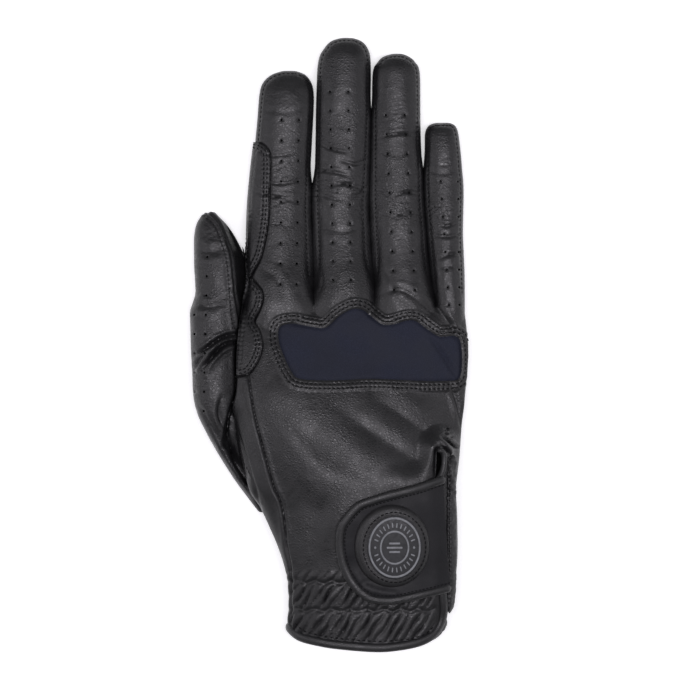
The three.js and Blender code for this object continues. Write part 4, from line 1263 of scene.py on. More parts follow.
class NodeSheet:
    """A material with short ways to add and join its nodes."""

    def __init__(self, name: str) -> None:
        """Starts a material with its shader and nothing else."""
        self.material = bpy.data.materials.new(name)
        self.material.use_nodes = True
        self.nodes = self.material.node_tree.nodes
        self.links = self.material.node_tree.links
        self.shader = self.nodes["Principled BSDF"]
        self.place = self.nodes.new("ShaderNodeTexCoord").outputs["Object"]

    def noise(self, size: float, detail: float = 3.0, rough: float = 0.5) -> bpy.types.NodeSocket:
        """A soft noise whose lumps have the given size in millimetres."""
        node = self.nodes.new("ShaderNodeTexNoise")
        node.inputs["Scale"].default_value = 1000 / size
        node.inputs["Detail"].default_value = detail
        node.inputs["Roughness"].default_value = rough
        self.links.new(self.place, node.inputs["Vector"])
        return node.outputs["Fac"]

    def cells(self, size: float, feature: str = "DISTANCE_TO_EDGE", wobble: float = 0.0,
              stretch: tuple[float, float, float] = (1, 1, 1)) -> bpy.types.NodeSocket:
        """Cells of the given size in millimetres.

        Args:
            size: how wide a cell is.
            feature: which distance of the cells is given.
            wobble: how far the cells' edges wander, in millimetres.
            stretch: how much longer the cells are each way.

        Returns:
            The distance.
        """
        place = self.place
        if wobble:
            stir = self.nodes.new("ShaderNodeTexNoise")
            stir.inputs["Scale"].default_value = 1000 / (size * 2.2)
            stir.inputs["Detail"].default_value = 2
            self.links.new(place, stir.inputs["Vector"])
            scaled = self.nodes.new("ShaderNodeVectorMath")
            scaled.operation = "MULTIPLY_ADD"
            scaled.inputs[1].default_value = (wobble * MM * 2,) * 3
            self.links.new(stir.outputs["Color"], scaled.inputs[0])
            self.links.new(place, scaled.inputs[2])
            place = scaled.outputs[0]
        mapping = self.nodes.new("ShaderNodeMapping")
        mapping.inputs["Scale"].default_value = tuple(1 / k for k in stretch)
        self.links.new(place, mapping.inputs["Vector"])
        node = self.nodes.new("ShaderNodeTexVoronoi")
        node.feature = feature
        node.inputs["Scale"].default_value = 1000 / size
        self.links.new(mapping.outputs[0], node.inputs["Vector"])
        return node.outputs["Distance"]

    def ramp(self, source: bpy.types.NodeSocket, low: float, high: float, out_low: float = 0.0,
             out_high: float = 1.0) -> bpy.types.NodeSocket:
        """Maps a range of a value to another range, smoothly and held at its ends."""
        node = self.nodes.new("ShaderNodeMapRange")
        node.interpolation_type = "SMOOTHSTEP"
        limits = {"From Min": low, "From Max": high, "To Min": out_low, "To Max": out_high}
        for socket, value in limits.items():
            node.inputs[socket].default_value = value
        self.links.new(source, node.inputs["Value"])
        return node.outputs["Result"]

    def maths(self, how: str, a: bpy.types.NodeSocket,
              b: bpy.types.NodeSocket | float) -> bpy.types.NodeSocket:
        """Joins two values by a sum, a product or another rule."""
        node = self.nodes.new("ShaderNodeMath")
        node.operation = how
        self.links.new(a, node.inputs[0])
        if isinstance(b, (int, float)):
            node.inputs[1].default_value = b
        else:
            self.links.new(b, node.inputs[1])
        return node.outputs[0]

    def blend(self, share: bpy.types.NodeSocket, dark: Colour | bpy.types.NodeSocket,
              light: Colour) -> bpy.types.NodeSocket:
        """Mixes a colour, or a pattern of colours, with a second colour by a share."""
        node = self.nodes.new("ShaderNodeMix")
        node.data_type = "RGBA"
        if isinstance(dark, tuple):
            node.inputs["A"].default_value = (*dark, 1)
        else:
            self.links.new(dark, node.inputs["A"])
        node.inputs["B"].default_value = (*light, 1)
        self.links.new(share, node.inputs["Factor"])
        return node.outputs["Result"]

    def bump(self, height: bpy.types.NodeSocket, depth: float,
             below: bpy.types.NodeSocket | None = None) -> bpy.types.NodeSocket:
        """Raises the surface by a height whose full range is depth millimetres."""
        node = self.nodes.new("ShaderNodeBump")
        node.inputs["Strength"].default_value = 1.0
        node.inputs["Distance"].default_value = depth * MM
        self.links.new(height, node.inputs["Height"])
        if below is not None:
            self.links.new(below, node.inputs["Normal"])
        return node.outputs["Normal"]

    def pointed(self) -> bpy.types.NodeSocket:
        """How much a place stands out from what is round it."""
        return self.nodes.new("ShaderNodeNewGeometry").outputs["Pointiness"]

    def join(self, source: bpy.types.NodeSocket, socket: str) -> None:
        """Joins a value to one of the shader's sockets."""
        self.links.new(source, self.shader.inputs[socket])

    def hold(self, socket: str, value: float) -> None:
        """Sets one of the shader's sockets to a value that is the same all over."""
        self.shader.inputs[socket].default_value = value


SOCKET = Socket()


@dataclass(frozen=True)
class LeatherFinish:
    """Thin dyed leather with a pebbled grain that shows where it is stretched."""

    name: str
    dark: Colour = (0.0042, 0.0041, 0.0048)
    light: Colour = (0.0100, 0.0096, 0.0110)
    worn: Colour = (0.024, 0.023, 0.025)
    smooth: float = 0.29
    rough: float = 0.39
    grain: float = 1.15
    grain_depth: float = 0.08
    specular: float = 0.5

    def make(self) -> bpy.types.Material:
        """Builds the material."""
        sheet = NodeSheet(self.name)
        pebbles = sheet.ramp(sheet.cells(self.grain, wobble=0.45, stretch=(1.15, 0.9, 1)), 0.0, 0.4)
        small = sheet.ramp(sheet.cells(self.grain * 0.5, wobble=0.2), 0.0, 0.35)
        where = sheet.ramp(sheet.noise(17, 3), 0.38, 0.62, 0.3, 1.0)
        pores = sheet.noise(0.28, 3, 0.6)
        large_part, small_part = sheet.maths("MULTIPLY", pebbles, 0.72), sheet.maths("MULTIPLY", small, 0.28)
        height = sheet.maths("MULTIPLY", sheet.maths("ADD", large_part, small_part), where)
        normal = sheet.bump(pores, 0.022)
        normal = sheet.bump(height, self.grain_depth, normal)
        sheet.join(sheet.bump(sheet.noise(3.2, 2), 0.06, normal), SOCKET.normal)
        tone = sheet.maths("MULTIPLY", sheet.ramp(sheet.noise(9, 4, 0.6), 0.3, 0.7),
                           sheet.ramp(pebbles, 0.0, 1.0, 0.55, 1.0))
        base = sheet.blend(tone, self.dark, self.light)
        wear = sheet.ramp(sheet.pointed(), 0.53, 0.62, 0.0, 0.55)
        sheet.join(sheet.blend(wear, base, self.worn), SOCKET.colour)
        gloss = sheet.maths("ADD", sheet.ramp(sheet.noise(6, 4, 0.6), 0.3, 0.7, self.smooth, self.rough),
                            sheet.ramp(pebbles, 0.0, 1.0, 0.12, 0.0))
        sheet.join(gloss, SOCKET.roughness)
        sheet.hold(SOCKET.specular, self.specular)
        return sheet.material


@dataclass(frozen=True)
class KnitFinish:
    """Fine stretch fabric: small loops with a soft bloom."""

    name: str
    dark: Colour = (0.0080, 0.0096, 0.0195)
    light: Colour = (0.0160, 0.0192, 0.0355)
    loop: float = 0.42
    depth: float = 0.06
    rough: float = 0.72
    sheen: float = 0.05
    specular: float = 0.3

    def make(self) -> bpy.types.Material:
        """Builds the material."""
        sheet = NodeSheet(self.name)
        loops = sheet.ramp(sheet.cells(self.loop, "F1", stretch=(0.8, 1.35, 1)), 0.1, 0.75, 1.0, 0.0)
        lint = sheet.ramp(sheet.noise(0.9, 2), 0.74, 0.8)
        broad = sheet.ramp(sheet.noise(14, 3), 0.3, 0.7)
        tone = sheet.maths("MULTIPLY", sheet.ramp(loops, 0, 1, 0.35, 1.0), sheet.maths("ADD", broad, 0.35))
        sheet.join(sheet.blend(sheet.maths("ADD", tone, lint), self.dark, self.light), SOCKET.colour)
        sheet.join(sheet.bump(loops, self.depth, sheet.bump(sheet.noise(2.4, 3), 0.08)), SOCKET.normal)
        sheet.join(sheet.ramp(broad, 0, 1, self.rough, self.rough + 0.12), SOCKET.roughness)
        sheet.hold(SOCKET.sheen, self.sheen)
        sheet.hold(SOCKET.specular, self.specular)
        return sheet.material


@dataclass(frozen=True)
class ThreadFinish:
    """Waxed sewing thread with its twist."""

    name: str
    dark: Colour = (0.0015, 0.0015, 0.002)
    light: Colour = (0.006, 0.006, 0.007)

    def make(self) -> bpy.types.Material:
        """Builds the material."""
        sheet = NodeSheet(self.name)
        twist = sheet.nodes.new("ShaderNodeTexWave")
        twist.bands_direction = "DIAGONAL"
        twist.inputs["Scale"].default_value = 1000 / 1.1
        sheet.links.new(sheet.place, twist.inputs["Vector"])
        sheet.join(sheet.blend(twist.outputs["Fac"], self.dark, self.light), SOCKET.colour)
        sheet.join(sheet.bump(twist.outputs["Fac"], 0.05), SOCKET.normal)
        sheet.hold(SOCKET.roughness, 0.7)
        sheet.hold(SOCKET.specular, 0.15)
        return sheet.material


@dataclass(frozen=True)
class RubberFinish:
    """Moulded rubber with a faint orange-peel skin."""

    name: str
    dark: Colour
    light: Colour
    rough: float = 0.5

    def make(self) -> bpy.types.Material:
        """Builds the material."""
        sheet = NodeSheet(self.name)
        tone = sheet.ramp(sheet.noise(2.0, 4, 0.6), 0.3, 0.7)
        sheet.join(sheet.blend(tone, self.dark, self.light), SOCKET.colour)
        sheet.join(sheet.bump(sheet.noise(0.35, 2), 0.03), SOCKET.normal)
        gloss = sheet.ramp(sheet.noise(1.2, 3), 0.3, 0.7, self.rough - 0.08, self.rough + 0.1)
        sheet.join(gloss, SOCKET.roughness)
        return sheet.material


class Finish(Enum):
    """The finishes of the glove, each with the material slot it stands for."""

    LEATHER = ("leather", LeatherFinish("glove_leather"))
    WRIST_LEATHER = ("leather", LeatherFinish("wrist_leather", specular=0.4))
    SIDE_LEATHER = ("leather", LeatherFinish("side_leather", grain_depth=0.05, smooth=0.34, rough=0.46))
    PAD_LEATHER = ("leather", LeatherFinish("pad_leather", grain=0.8, grain_depth=0.06, smooth=0.36,
                                            rough=0.48))
    BINDING = ("binding", LeatherFinish("rolled_binding", grain=0.8, grain_depth=0.06, smooth=0.30,
                                        rough=0.42, light=(0.013, 0.013, 0.0145)))
    STRETCH = ("stretch", KnitFinish("navy_stretch"))
    STRAP = ("strap_fabric", KnitFinish("strap_fabric", dark=(0.0050, 0.0050, 0.0065),
                                        light=(0.0088, 0.0086, 0.0108), loop=0.3, depth=0.02, rough=0.5,
                                        sheen=0.0, specular=0.26))
    HOOK = ("hook", KnitFinish("hook_tape", dark=(0.008, 0.008, 0.009), light=(0.02, 0.02, 0.022), loop=0.9,
                               depth=0.3, rough=0.9))
    BADGE = ("badge_rubber", RubberFinish("badge_rubber", (0.0045, 0.0052, 0.0070), (0.0085, 0.0095, 0.0120)))
    BADGE_RELIEF = ("badge_rubber", RubberFinish("badge_relief", (0.14, 0.145, 0.155), (0.21, 0.215, 0.23),
                                                 0.55))
    THREAD = ("binding", ThreadFinish("sewing_thread"))


class Wardrobe:
    """Dresses pieces in their finishes and hands them to the frame."""

    def __init__(self) -> None:
        """Builds every material once."""
        self.materials = {finish: finish.value[1].make() for finish in Finish}
        self.pieces: list[bpy.types.Object] = []

    def dress(self, piece: bpy.types.Object, finish: Finish, *nodes: str) -> None:
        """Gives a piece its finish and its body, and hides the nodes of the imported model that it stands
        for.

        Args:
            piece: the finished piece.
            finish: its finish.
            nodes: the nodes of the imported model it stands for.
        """
        mesh = piece.data
        mesh.materials.clear()
        mesh.materials.append(self.materials[finish])
        mesh.shade_smooth()
        mesh.set_sharp_from_angle(angle=math.radians(SHARP_ANGLE))
        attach(piece, BODY)
        if nodes:
            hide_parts(*nodes)
        self.pieces.append(piece)
        faces = sum(len(face.vertices) - 2 for face in mesh.polygons)
        LOG.info("piece %s: %d triangles in %s", piece.name, faces, finish.value[1].name)


@dataclass
class LeatherShell:
    """The hand, fingers and thumb of thin leather, cut along their seams."""

    wardrobe: Wardrobe
    seam_height: float = 7.2
    gather_top: float = -88.7
    thumb_seam_height: float = 6.8
    hole: float = 0.9
    hole_floor: float = 8.4
    thumb_hole_floor: float = 9.6
    pin_length: float = 30.0
    patch_thickness: float = 0.85
    slit_bottom: float = 11.5
    most_back: int = 190000
    most_palm: int = 120000
    skin: GloveSkin = field(default_factory=GloveSkin)

    def region(self, line: np.ndarray, corners: Points, low: float = BELOW_ALL) -> bpy.types.Object:
        """Makes the solid on one side of a seam.

        Args:
            line: the seam in plan.
            corners: far corners that close the outline after the seam's last point.
            low: the solid's underside.

        Returns:
            The solid.
        """
        return prism("region", np.vstack((line, np.array(corners))), low)

    def part(self, source: bpy.types.Object, tool: bpy.types.Object, name: str) -> bpy.types.Object:
        """Takes the part of a skin inside a region, and leaves the rest."""
        piece = copy_of(source, name)
        combine(piece, tool, Cut.KEEP)
        combine(source, tool, Cut.REMOVE)
        discard(tool)
        return piece

    def pins(self) -> bpy.types.Object:
        """Makes the pins that punch the air holes."""
        bm = bmesh.new()
        for x, y in Perforation.spots():
            base = self.thumb_hole_floor if x < THUMB_SIDE else self.hole_floor
            place = Matrix.Translation(Vector((x, y, base + self.pin_length / 2)) * MM)
            bmesh.ops.create_cone(bm, cap_ends=True, cap_tris=True, segments=10, radius1=self.hole / 2 * MM,
                                  radius2=self.hole / 2 * MM, depth=self.pin_length * MM, matrix=place)
        return from_bmesh("pins", bm)

    def layer(self, outer: bpy.types.Object, name: str, outline: np.ndarray, low: float, high: float,
              floor: float, edge: float = 0.0, rows: tuple[float, ...] = (),
              sink: float = 0.0) -> bpy.types.Object:
        """Cuts a layer that follows the finished skin.

        Args:
            outer: the finished skin.
            name: the layer's name.
            outline: its outline in plan.
            low: its underside, measured from the skin.
            high: its face, measured from the skin.
            floor: the height below which it is cut off.
            edge: how far its rounded edge reaches inwards.
            rows: rows of thread, by their distance from the outline.
            sink: how far its face drops at the outline.

        Returns:
            The layer.
        """
        layer, under = copy_of(outer, name), copy_of(outer, "under")
        spots, normals = mesh_arrays(layer.data)
        loop = np.vstack((outline, outline[:1]))
        gap, along = line_distance(spots[:, :2], loop)
        rise = np.full(len(spots), high)
        if edge:
            share = np.clip(gap / edge, 0, 1)
            rise = low + (high - low) * (0.25 + 0.75 * np.sqrt(1 - (1 - share) ** 2))
        for row in rows:
            rise -= 0.32 * bell(gap - row, 0.45) * pucker(along)
        rise -= sink * bell(gap, 0.7)
        write_spots(layer.data, spots + normals * rise[:, None])
        write_spots(under.data, spots + normals * low)
        cutter = prism("cutter", outline, floor)
        combine(layer, cutter, Cut.KEEP)
        combine(layer, under, Cut.REMOVE)
        discard(under, cutter)
        return layer

    def build(self) -> bpy.types.Object:
        """Builds the leather pieces and gives back the uncut skin for the thread."""
        far_left, far_right, top, bottom = -90.0, 100.0, 140.0, -260.0
        outer = self.skin.outer()
        LOG.info("outer skin ready")
        shell = copy_of(outer, "shell")
        inner = self.skin.inner()
        combine(shell, inner, Cut.REMOVE)
        discard(inner)
        hem = inset(Lines.hem, 1.3, closed=False)
        below = self.region(hem, [(far_right, hem[-1, 1]), (far_right, bottom), (far_left, bottom),
                                  (far_left, hem[0, 1])])
        combine(shell, below, Cut.REMOVE)
        discard(below)
        thumb_region = self.region(Lines.thumb_seam, [(far_left, Lines.thumb_seam[-1, 1]),
                                                      (far_left, Lines.thumb_seam[0, 1])])
        thumb = self.part(shell, thumb_region, "thumb_outside")
        ridge = self.region(Lines.ridge, [(far_left, Lines.ridge[-1, 1]), (far_left, Lines.ridge[0, 1])],
                            self.thumb_seam_height)
        front = copy_of(thumb, "thumb_inside")
        combine(front, ridge, Cut.REMOVE)
        combine(thumb, ridge, Cut.KEEP)
        discard(ridge)
        wrist_edge = np.array([(far_left, self.gather_top), (far_left, bottom), (far_right, bottom)])
        wrist = self.part(shell, self.region(wrist_edge, [(far_right, self.gather_top)]), "gathered_wrist")
        fourchettes = []
        for first, second in zip(FINGERS[:-1], FINGERS[1:]):
            between = f"{first.name}_{second.name}"
            high = min(first.y + first.length, second.y + second.length) - 9
            block = box_prism("block", (first.x, max(first.y, second.y) + 9, 3.5), (second.x, high, 8.1))
            side = self.part(shell, block, f"finger_side_{between}")
            fourchettes.append((side, f"fourchette_{between}"))
        back_region = self.region(Lines.wrap[::-1], [(far_left, Lines.wrap[0, 1]), (far_left, top),
                                                     (far_right, top), (far_right, bottom)], self.seam_height)
        back = self.part(shell, back_region, "back_leather")
        palm = shell
        palm.name = "palm_leather"
        pins = self.pins()
        for tool in (prism("hole", Lines.knuckle, 8), self.slit_cut()):
            combine(back, tool, Cut.REMOVE)
            discard(tool)
        combine(back, pins, Cut.REMOVE)
        combine(thumb, pins, Cut.REMOVE)
        slit = self.slit_cut()
        combine(wrist, slit, Cut.REMOVE)
        discard(pins, slit)
        thin_out(back, self.most_back)
        thin_out(palm, self.most_palm)
        LOG.info("shell cut")
        dress = self.wardrobe.dress
        dress(back, Finish.LEATHER, "hand_back")
        dress(palm, Finish.SIDE_LEATHER, "palm")
        dress(thumb, Finish.LEATHER, "thumb_back")
        dress(front, Finish.SIDE_LEATHER, "thumb_front")
        dress(wrist, Finish.WRIST_LEATHER, "wrist_gather")
        for piece, node in fourchettes:
            dress(piece, Finish.SIDE_LEATHER, node)
        panel = self.layer(outer, "knuckle_stretch", Lines.knuckle, -1.6, -0.4, 8.0, sink=0.55)
        dress(panel, Finish.STRETCH, "knuckle_panel")
        edge = np.vstack((Lines.patch, resample(plan(PATCH_INNER), 0.8)))
        patch = self.layer(outer, "index_reinforcement", edge, 0.02, self.patch_thickness, 4.3, 0.4,
                           PATCH_ROWS)
        dress(patch, Finish.LEATHER, "index_patch")
        return outer

    def slit_cut(self) -> bpy.types.Object:
        """The narrow opening in the back at the wrist."""
        return prism("slit", plan(SLIT_OPENING), self.slit_bottom)


@dataclass
class CuffEdges:
    """The rolled bindings round the wrist opening and the slit, and the stitched facing beside the slit."""

    wardrobe: Wardrobe
    hem_width: float = 3.6
    hem_depth: float = -0.4
    slit_width: float = 2.1
    facing_width: float = 4.6

    def hem_height(self, x: np.ndarray) -> np.ndarray:
        """How far along the glove the hem lies at places across it."""
        order = np.argsort(Lines.hem[:, 0])
        return np.interp(x, Lines.hem[order, 0], Lines.hem[order, 1])

    def hem_path(self) -> tuple[np.ndarray, np.ndarray]:
        """Lays out the hem's binding, from the slit round the wrist and back.

        Returns:
            The points of its middle, and the direction away from the glove at each.
        """
        first, ups = hand_frame(resample(plan(HEM_CORNER), 0.8), self.hem_depth)
        turns = np.linspace(0.60, -2 * math.pi + 1.35, 300)
        x = HAND.x + np.sin(turns) * 30
        y = self.hem_height(x) + self.hem_width / 2
        for _ in range(6):
            rows = HAND.section_at(y)
            around = HAND.skin_points(rows, turns, np.ones(len(turns)), self.hem_depth)
            y = self.hem_height(around[:, 0]) + self.hem_width / 2
        ring = np.column_stack((around[:, 0], y, np.maximum(around[:, 2], 1.3)))
        keep = (ring[:, 0] < first[-1, 0] - 1.0) | (turns < -0.6)
        ring, turn = ring[keep], turns[keep]
        away = np.column_stack((np.sin(turn) * 0.9, np.zeros(len(turn)), np.cos(turn)))
        path = np.vstack((first, ring))
        lift = np.vstack((ups, away / np.linalg.norm(away, axis=1)[:, None]))
        even = resample(np.hstack((path, lift)), 0.7)
        smooth = even.copy()
        for _ in range(6):
            smooth[1:-1] = (smooth[:-2] + 2 * smooth[1:-1] + smooth[2:]) / 4
        return smooth[:, :3], smooth[:, 3:] / np.linalg.norm(smooth[:, 3:], axis=1)[:, None]

    def build(self) -> None:
        """Builds the bindings and the facing."""
        path, ups = self.hem_path()
        hem = swept("hem_piping", path, ups, self.hem_width, 3.0)
        self.wardrobe.dress(hem, Finish.BINDING, "hem_binding")
        spots, ups = hand_frame(resample(plan(SLIT_LOOP), 0.45), 0.6)
        binding = swept("slit_loop", spots, ups, self.slit_width, 2.6)
        self.wardrobe.dress(binding, Finish.BINDING, "slit_binding")
        line = resample(plan(FACING), 0.45)
        spots, ups = hand_frame(line, 0.35)
        facing = swept("sewn_facing", spots, ups, self.facing_width, 2.0, 28)
        places, normals = mesh_arrays(facing.data)
        groove = np.interp(places[:, 1], line[::-1, 1], line[::-1, 0]) - 0.9
        dents = 0.55 + 0.45 * np.cos(2 * np.pi * places[:, 1] / PITCH)
        crumple = np.array([noise.noise(Vector((x * 0.9, y * 0.7, z * 0.5))) for x, y, z in places])
        push = 0.42 * crumple * smoothstep(places[:, 1], -75, -50) + 0.18 * crumple
        push -= 0.6 * bell(places[:, 0] - groove, 0.55) * dents
        write_spots(facing.data, places + normals * push[:, None])
        self.wardrobe.dress(facing, Finish.PAD_LEATHER, "slit_facing")


@dataclass
class StrapAndBadge:
    """The wrist strap with its piped edge, the hook tape below it, and the badge on its moulded pad."""

    wardrobe: Wardrobe
    low: float = 1.4
    high: float = 2.9
    piping: float = 3.3
    pad_centre: Pair = (24.6, -76.9)
    pad_size: Pair = (28.6, 31.4)
    badge_centre: Pair = (25.6, -77.4)
    badge_size: Pair = (19.8, 23.2)
    badge_rise: float = 1.7
    relief_rise: float = 0.7
    relief_height: float = 0.42
    bar_reach: Pair = (0.66, 0.82)  # shares of the badge's radius where its radial bars start and end
    face_margin: float = 1.0
    hook_centre: Pair = (25.1, -72.4)
    hook_radii: Pair = (11.6, 12.6)
    pad_profile: tuple[Pair, ...] = (
        (0, -0.2), (0.6, -0.2), (1.0, -0.2), (1.01, 0.1), (0.985, 0.7), (0.955, 1.25), (0.915, 1.65),
        (0.87, 1.85), (0.80, 1.92), (0.76, 1.88), (0.72, 1.80), (0.6, 1.80), (0.3, 1.8), (0, 1.8),
    )
    badge_profile: tuple[Pair, ...] = (
        (0, 0), (0.5, 0), (1.03, 0), (1.05, 0.15), (1.05, 0.6), (1.03, 0.78), (1.0, 0.84), (0.5, 0.84),
        (0.2, 0.88), (0, 0.9),
    )
    swells: tuple[tuple[Points, float, float], ...] = (
        ([(356, 572), (364, 584), (378, 590), (394, 592)], 1.7, 0.75),
        ([(360, 586), (366, 579)], 0.7, -0.4),
        ([(369, 590), (372, 581)], 0.7, -0.45),
        ([(379, 593), (381, 584)], 0.8, -0.35),
        ([(352, 520), (347, 535), (347, 552)], 2.2, 0.4),
        ([(432, 500), (436, 540), (438, 580)], 3.5, 0.35),
    )

    def lay(self, name: str, bm: bmesh.types.BMesh, centre: Pair, size: Pair,
            base: float) -> bpy.types.Object:
        """Lays a form of unit radius on the strap as an oval.

        Args:
            name: the form's name.
            bm: its mesh, with heights in millimetres.
            centre: its place in plan.
            size: its width and length.
            base: height of its underside above the hand's skin.

        Returns:
            The form.
        """
        spots = np.array([vert.co for vert in bm.verts])
        flat = np.column_stack((centre[0] + spots[:, 0] * size[0] / 2, centre[1] + spots[:, 1] * size[1] / 2))
        place, ups = hand_frame(flat, base)
        put(bm, place + ups * spots[:, 2:])
        bmesh.ops.recalc_face_normals(bm, faces=bm.faces)
        return from_bmesh(name, bm)

    def lathed(self, name: str, profile: tuple[Pair, ...], centre: Pair, size: Pair,
               base: float) -> bpy.types.Object:
        """Spins a profile into an oval form and lays it on the strap.

        Args:
            name: the form's name.
            profile: share of the radius and height above the base for each point, from centre to centre.
            centre: its place in plan.
            size: its width and length.
            base: height of its underside above the hand's skin.

        Returns:
            The form.
        """
        bm = bmesh.new()
        verts = [bm.verts.new((radius, 0, height)) for radius, height in profile]
        edges = [bm.edges.new(pair) for pair in zip(verts[:-1], verts[1:])]
        self.spin(bm, verts + edges, 96)
        bmesh.ops.remove_doubles(bm, verts=bm.verts, dist=1e-4)
        return self.lay(name, bm, centre, size, base)

    def spin(self, bm: bmesh.types.BMesh, geometry: list[bmesh.types.BMVert | bmesh.types.BMEdge],
             steps: int) -> None:
        """Turns an outline once round the upright axis in a number of steps."""
        bmesh.ops.spin(bm, geom=geometry, cent=(0, 0, 0), axis=(0, 0, 1), angle=2 * math.pi, steps=steps,
                       use_merge=True)

    def soften(self, face: bpy.types.Object) -> None:
        """Gives the strap's face its soft swells and the wrinkles below the badge."""
        spots, normals = mesh_arrays(face.data)
        flat = spots[:, :2]
        up = smoothstep(normals[:, 2], 0.3, 0.7)
        push = np.zeros(len(spots))
        for line, width, height in self.swells:
            gap, _ = line_distance(flat, resample(plan(line), 1.0), 3 * width)
            push += height * bell(gap, width)
        swell = np.array([noise.noise(Vector((x * 0.12, y * 0.12, 4.0))) for x, y in flat])
        spots[:, 2] += up * (push + 0.18 * swell)
        write_spots(face.data, spots)

    def bar(self, bm: bmesh.types.BMesh, place: Matrix, rounding: float) -> None:
        """Adds a bar with rounded edges.

        Args:
            bm: the mesh it is added to.
            place: where the bar is, how it is turned and how large it is.
            rounding: how wide its rounded edges are.
        """
        made = bmesh.ops.create_cube(bm, size=1, matrix=place)
        edges = list({edge for vert in made["verts"] for edge in vert.link_edges})
        bmesh.ops.bevel(bm, geom=edges, offset=rounding, segments=2, profile=0.5, affect="EDGES", material=-1)

    def relief(self, base: float) -> bpy.types.Object:
        """Makes the raised rings, bars and dots of the badge.

        Args:
            base: height of their underside above the hand's skin.

        Returns:
            The relief.
        """
        bm = bmesh.new()
        tall = self.relief_height
        for inner, outer in ((0.93, 1.0), (0.50, 0.565)):
            made = bmesh.ops.create_circle(bm, cap_ends=False, segments=8, radius=(outer - inner) / 2,
                                           matrix=Matrix.Translation(((inner + outer) / 2, 0, tall / 2))
                                           @ Matrix.Rotation(math.pi / 2, 4, "X")
                                           @ Matrix.Diagonal((1, tall / (outer - inner), 1, 1)))
            edges = list({edge for vert in made["verts"] for edge in vert.link_edges})
            self.spin(bm, made["verts"] + edges, 112)
        inner, outer, count = *self.bar_reach, 28
        for i in range(count):
            angle = 2 * math.pi * (i + 0.5) / count
            if abs(math.sin(angle)) > 0.24:
                place = Matrix.Translation(((inner + outer) / 2, 0, tall / 2))
                place = Matrix.Rotation(angle, 4, "Z") @ place
                self.bar(bm, place @ Matrix.Diagonal((outer - inner, 0.022 * 2, tall, 1)), 0.016)
        for side in (-1, 1):
            bmesh.ops.create_uvsphere(bm, u_segments=12, v_segments=8, radius=1,
                                      matrix=Matrix.Translation((side * 0.745, 0, tall * 0.45))
                                      @ Matrix.Diagonal((0.045, 0.045, tall * 0.6, 1)))
        for k in (-1, 0, 1):
            reach = 0.30 if k == 0 else 0.21
            self.bar(bm, Matrix.Translation((0, k * 0.14, tall / 2))
                     @ Matrix.Diagonal((reach * 2, 0.06, tall, 1)), 0.018)
        bmesh.ops.remove_doubles(bm, verts=bm.verts, dist=1e-5)
        return self.lay("badge_relief", bm, self.badge_centre, self.badge_size, base)

    def build(self) -> tuple[bpy.types.Object, bpy.types.Object]:
        """Builds the strap's pieces and gives back its face and the pad for the thread."""
        dress = self.wardrobe.dress
        inward = -outward(Lines.strap)
        face = hand_layer("strap_face", inset(Lines.strap, inward * self.face_margin), self.low, self.high)
        self.soften(face)
        dress(face, Finish.STRAP, "strap")
        inner = inset(Lines.strap_edge, inward * self.piping / 2, closed=False)
        spots, ups = hand_frame(inner, (self.low + self.high) / 2 + 0.25)
        piping = swept("strap_piping", spots, ups, self.piping, 2.5)
        dress(piping, Finish.BINDING, "strap_binding")
        hooks = hand_layer("hook_tape", ellipse(self.hook_centre, self.hook_radii, 48), 0.35, self.low - 0.05)
        dress(hooks, Finish.HOOK, "hook_pad")
        pad = self.lathed("moulded_pad", self.pad_profile, self.pad_centre, self.pad_size, self.high)
        dress(pad, Finish.PAD_LEATHER, "badge_pad")
        badge = self.lathed("badge_disc", self.badge_profile, self.badge_centre, self.badge_size,
                            self.high + self.badge_rise)
        dress(badge, Finish.BADGE, "badge")
        dress(self.relief(self.high + self.badge_rise + self.relief_rise), Finish.BADGE_RELIEF)
        return face, pad


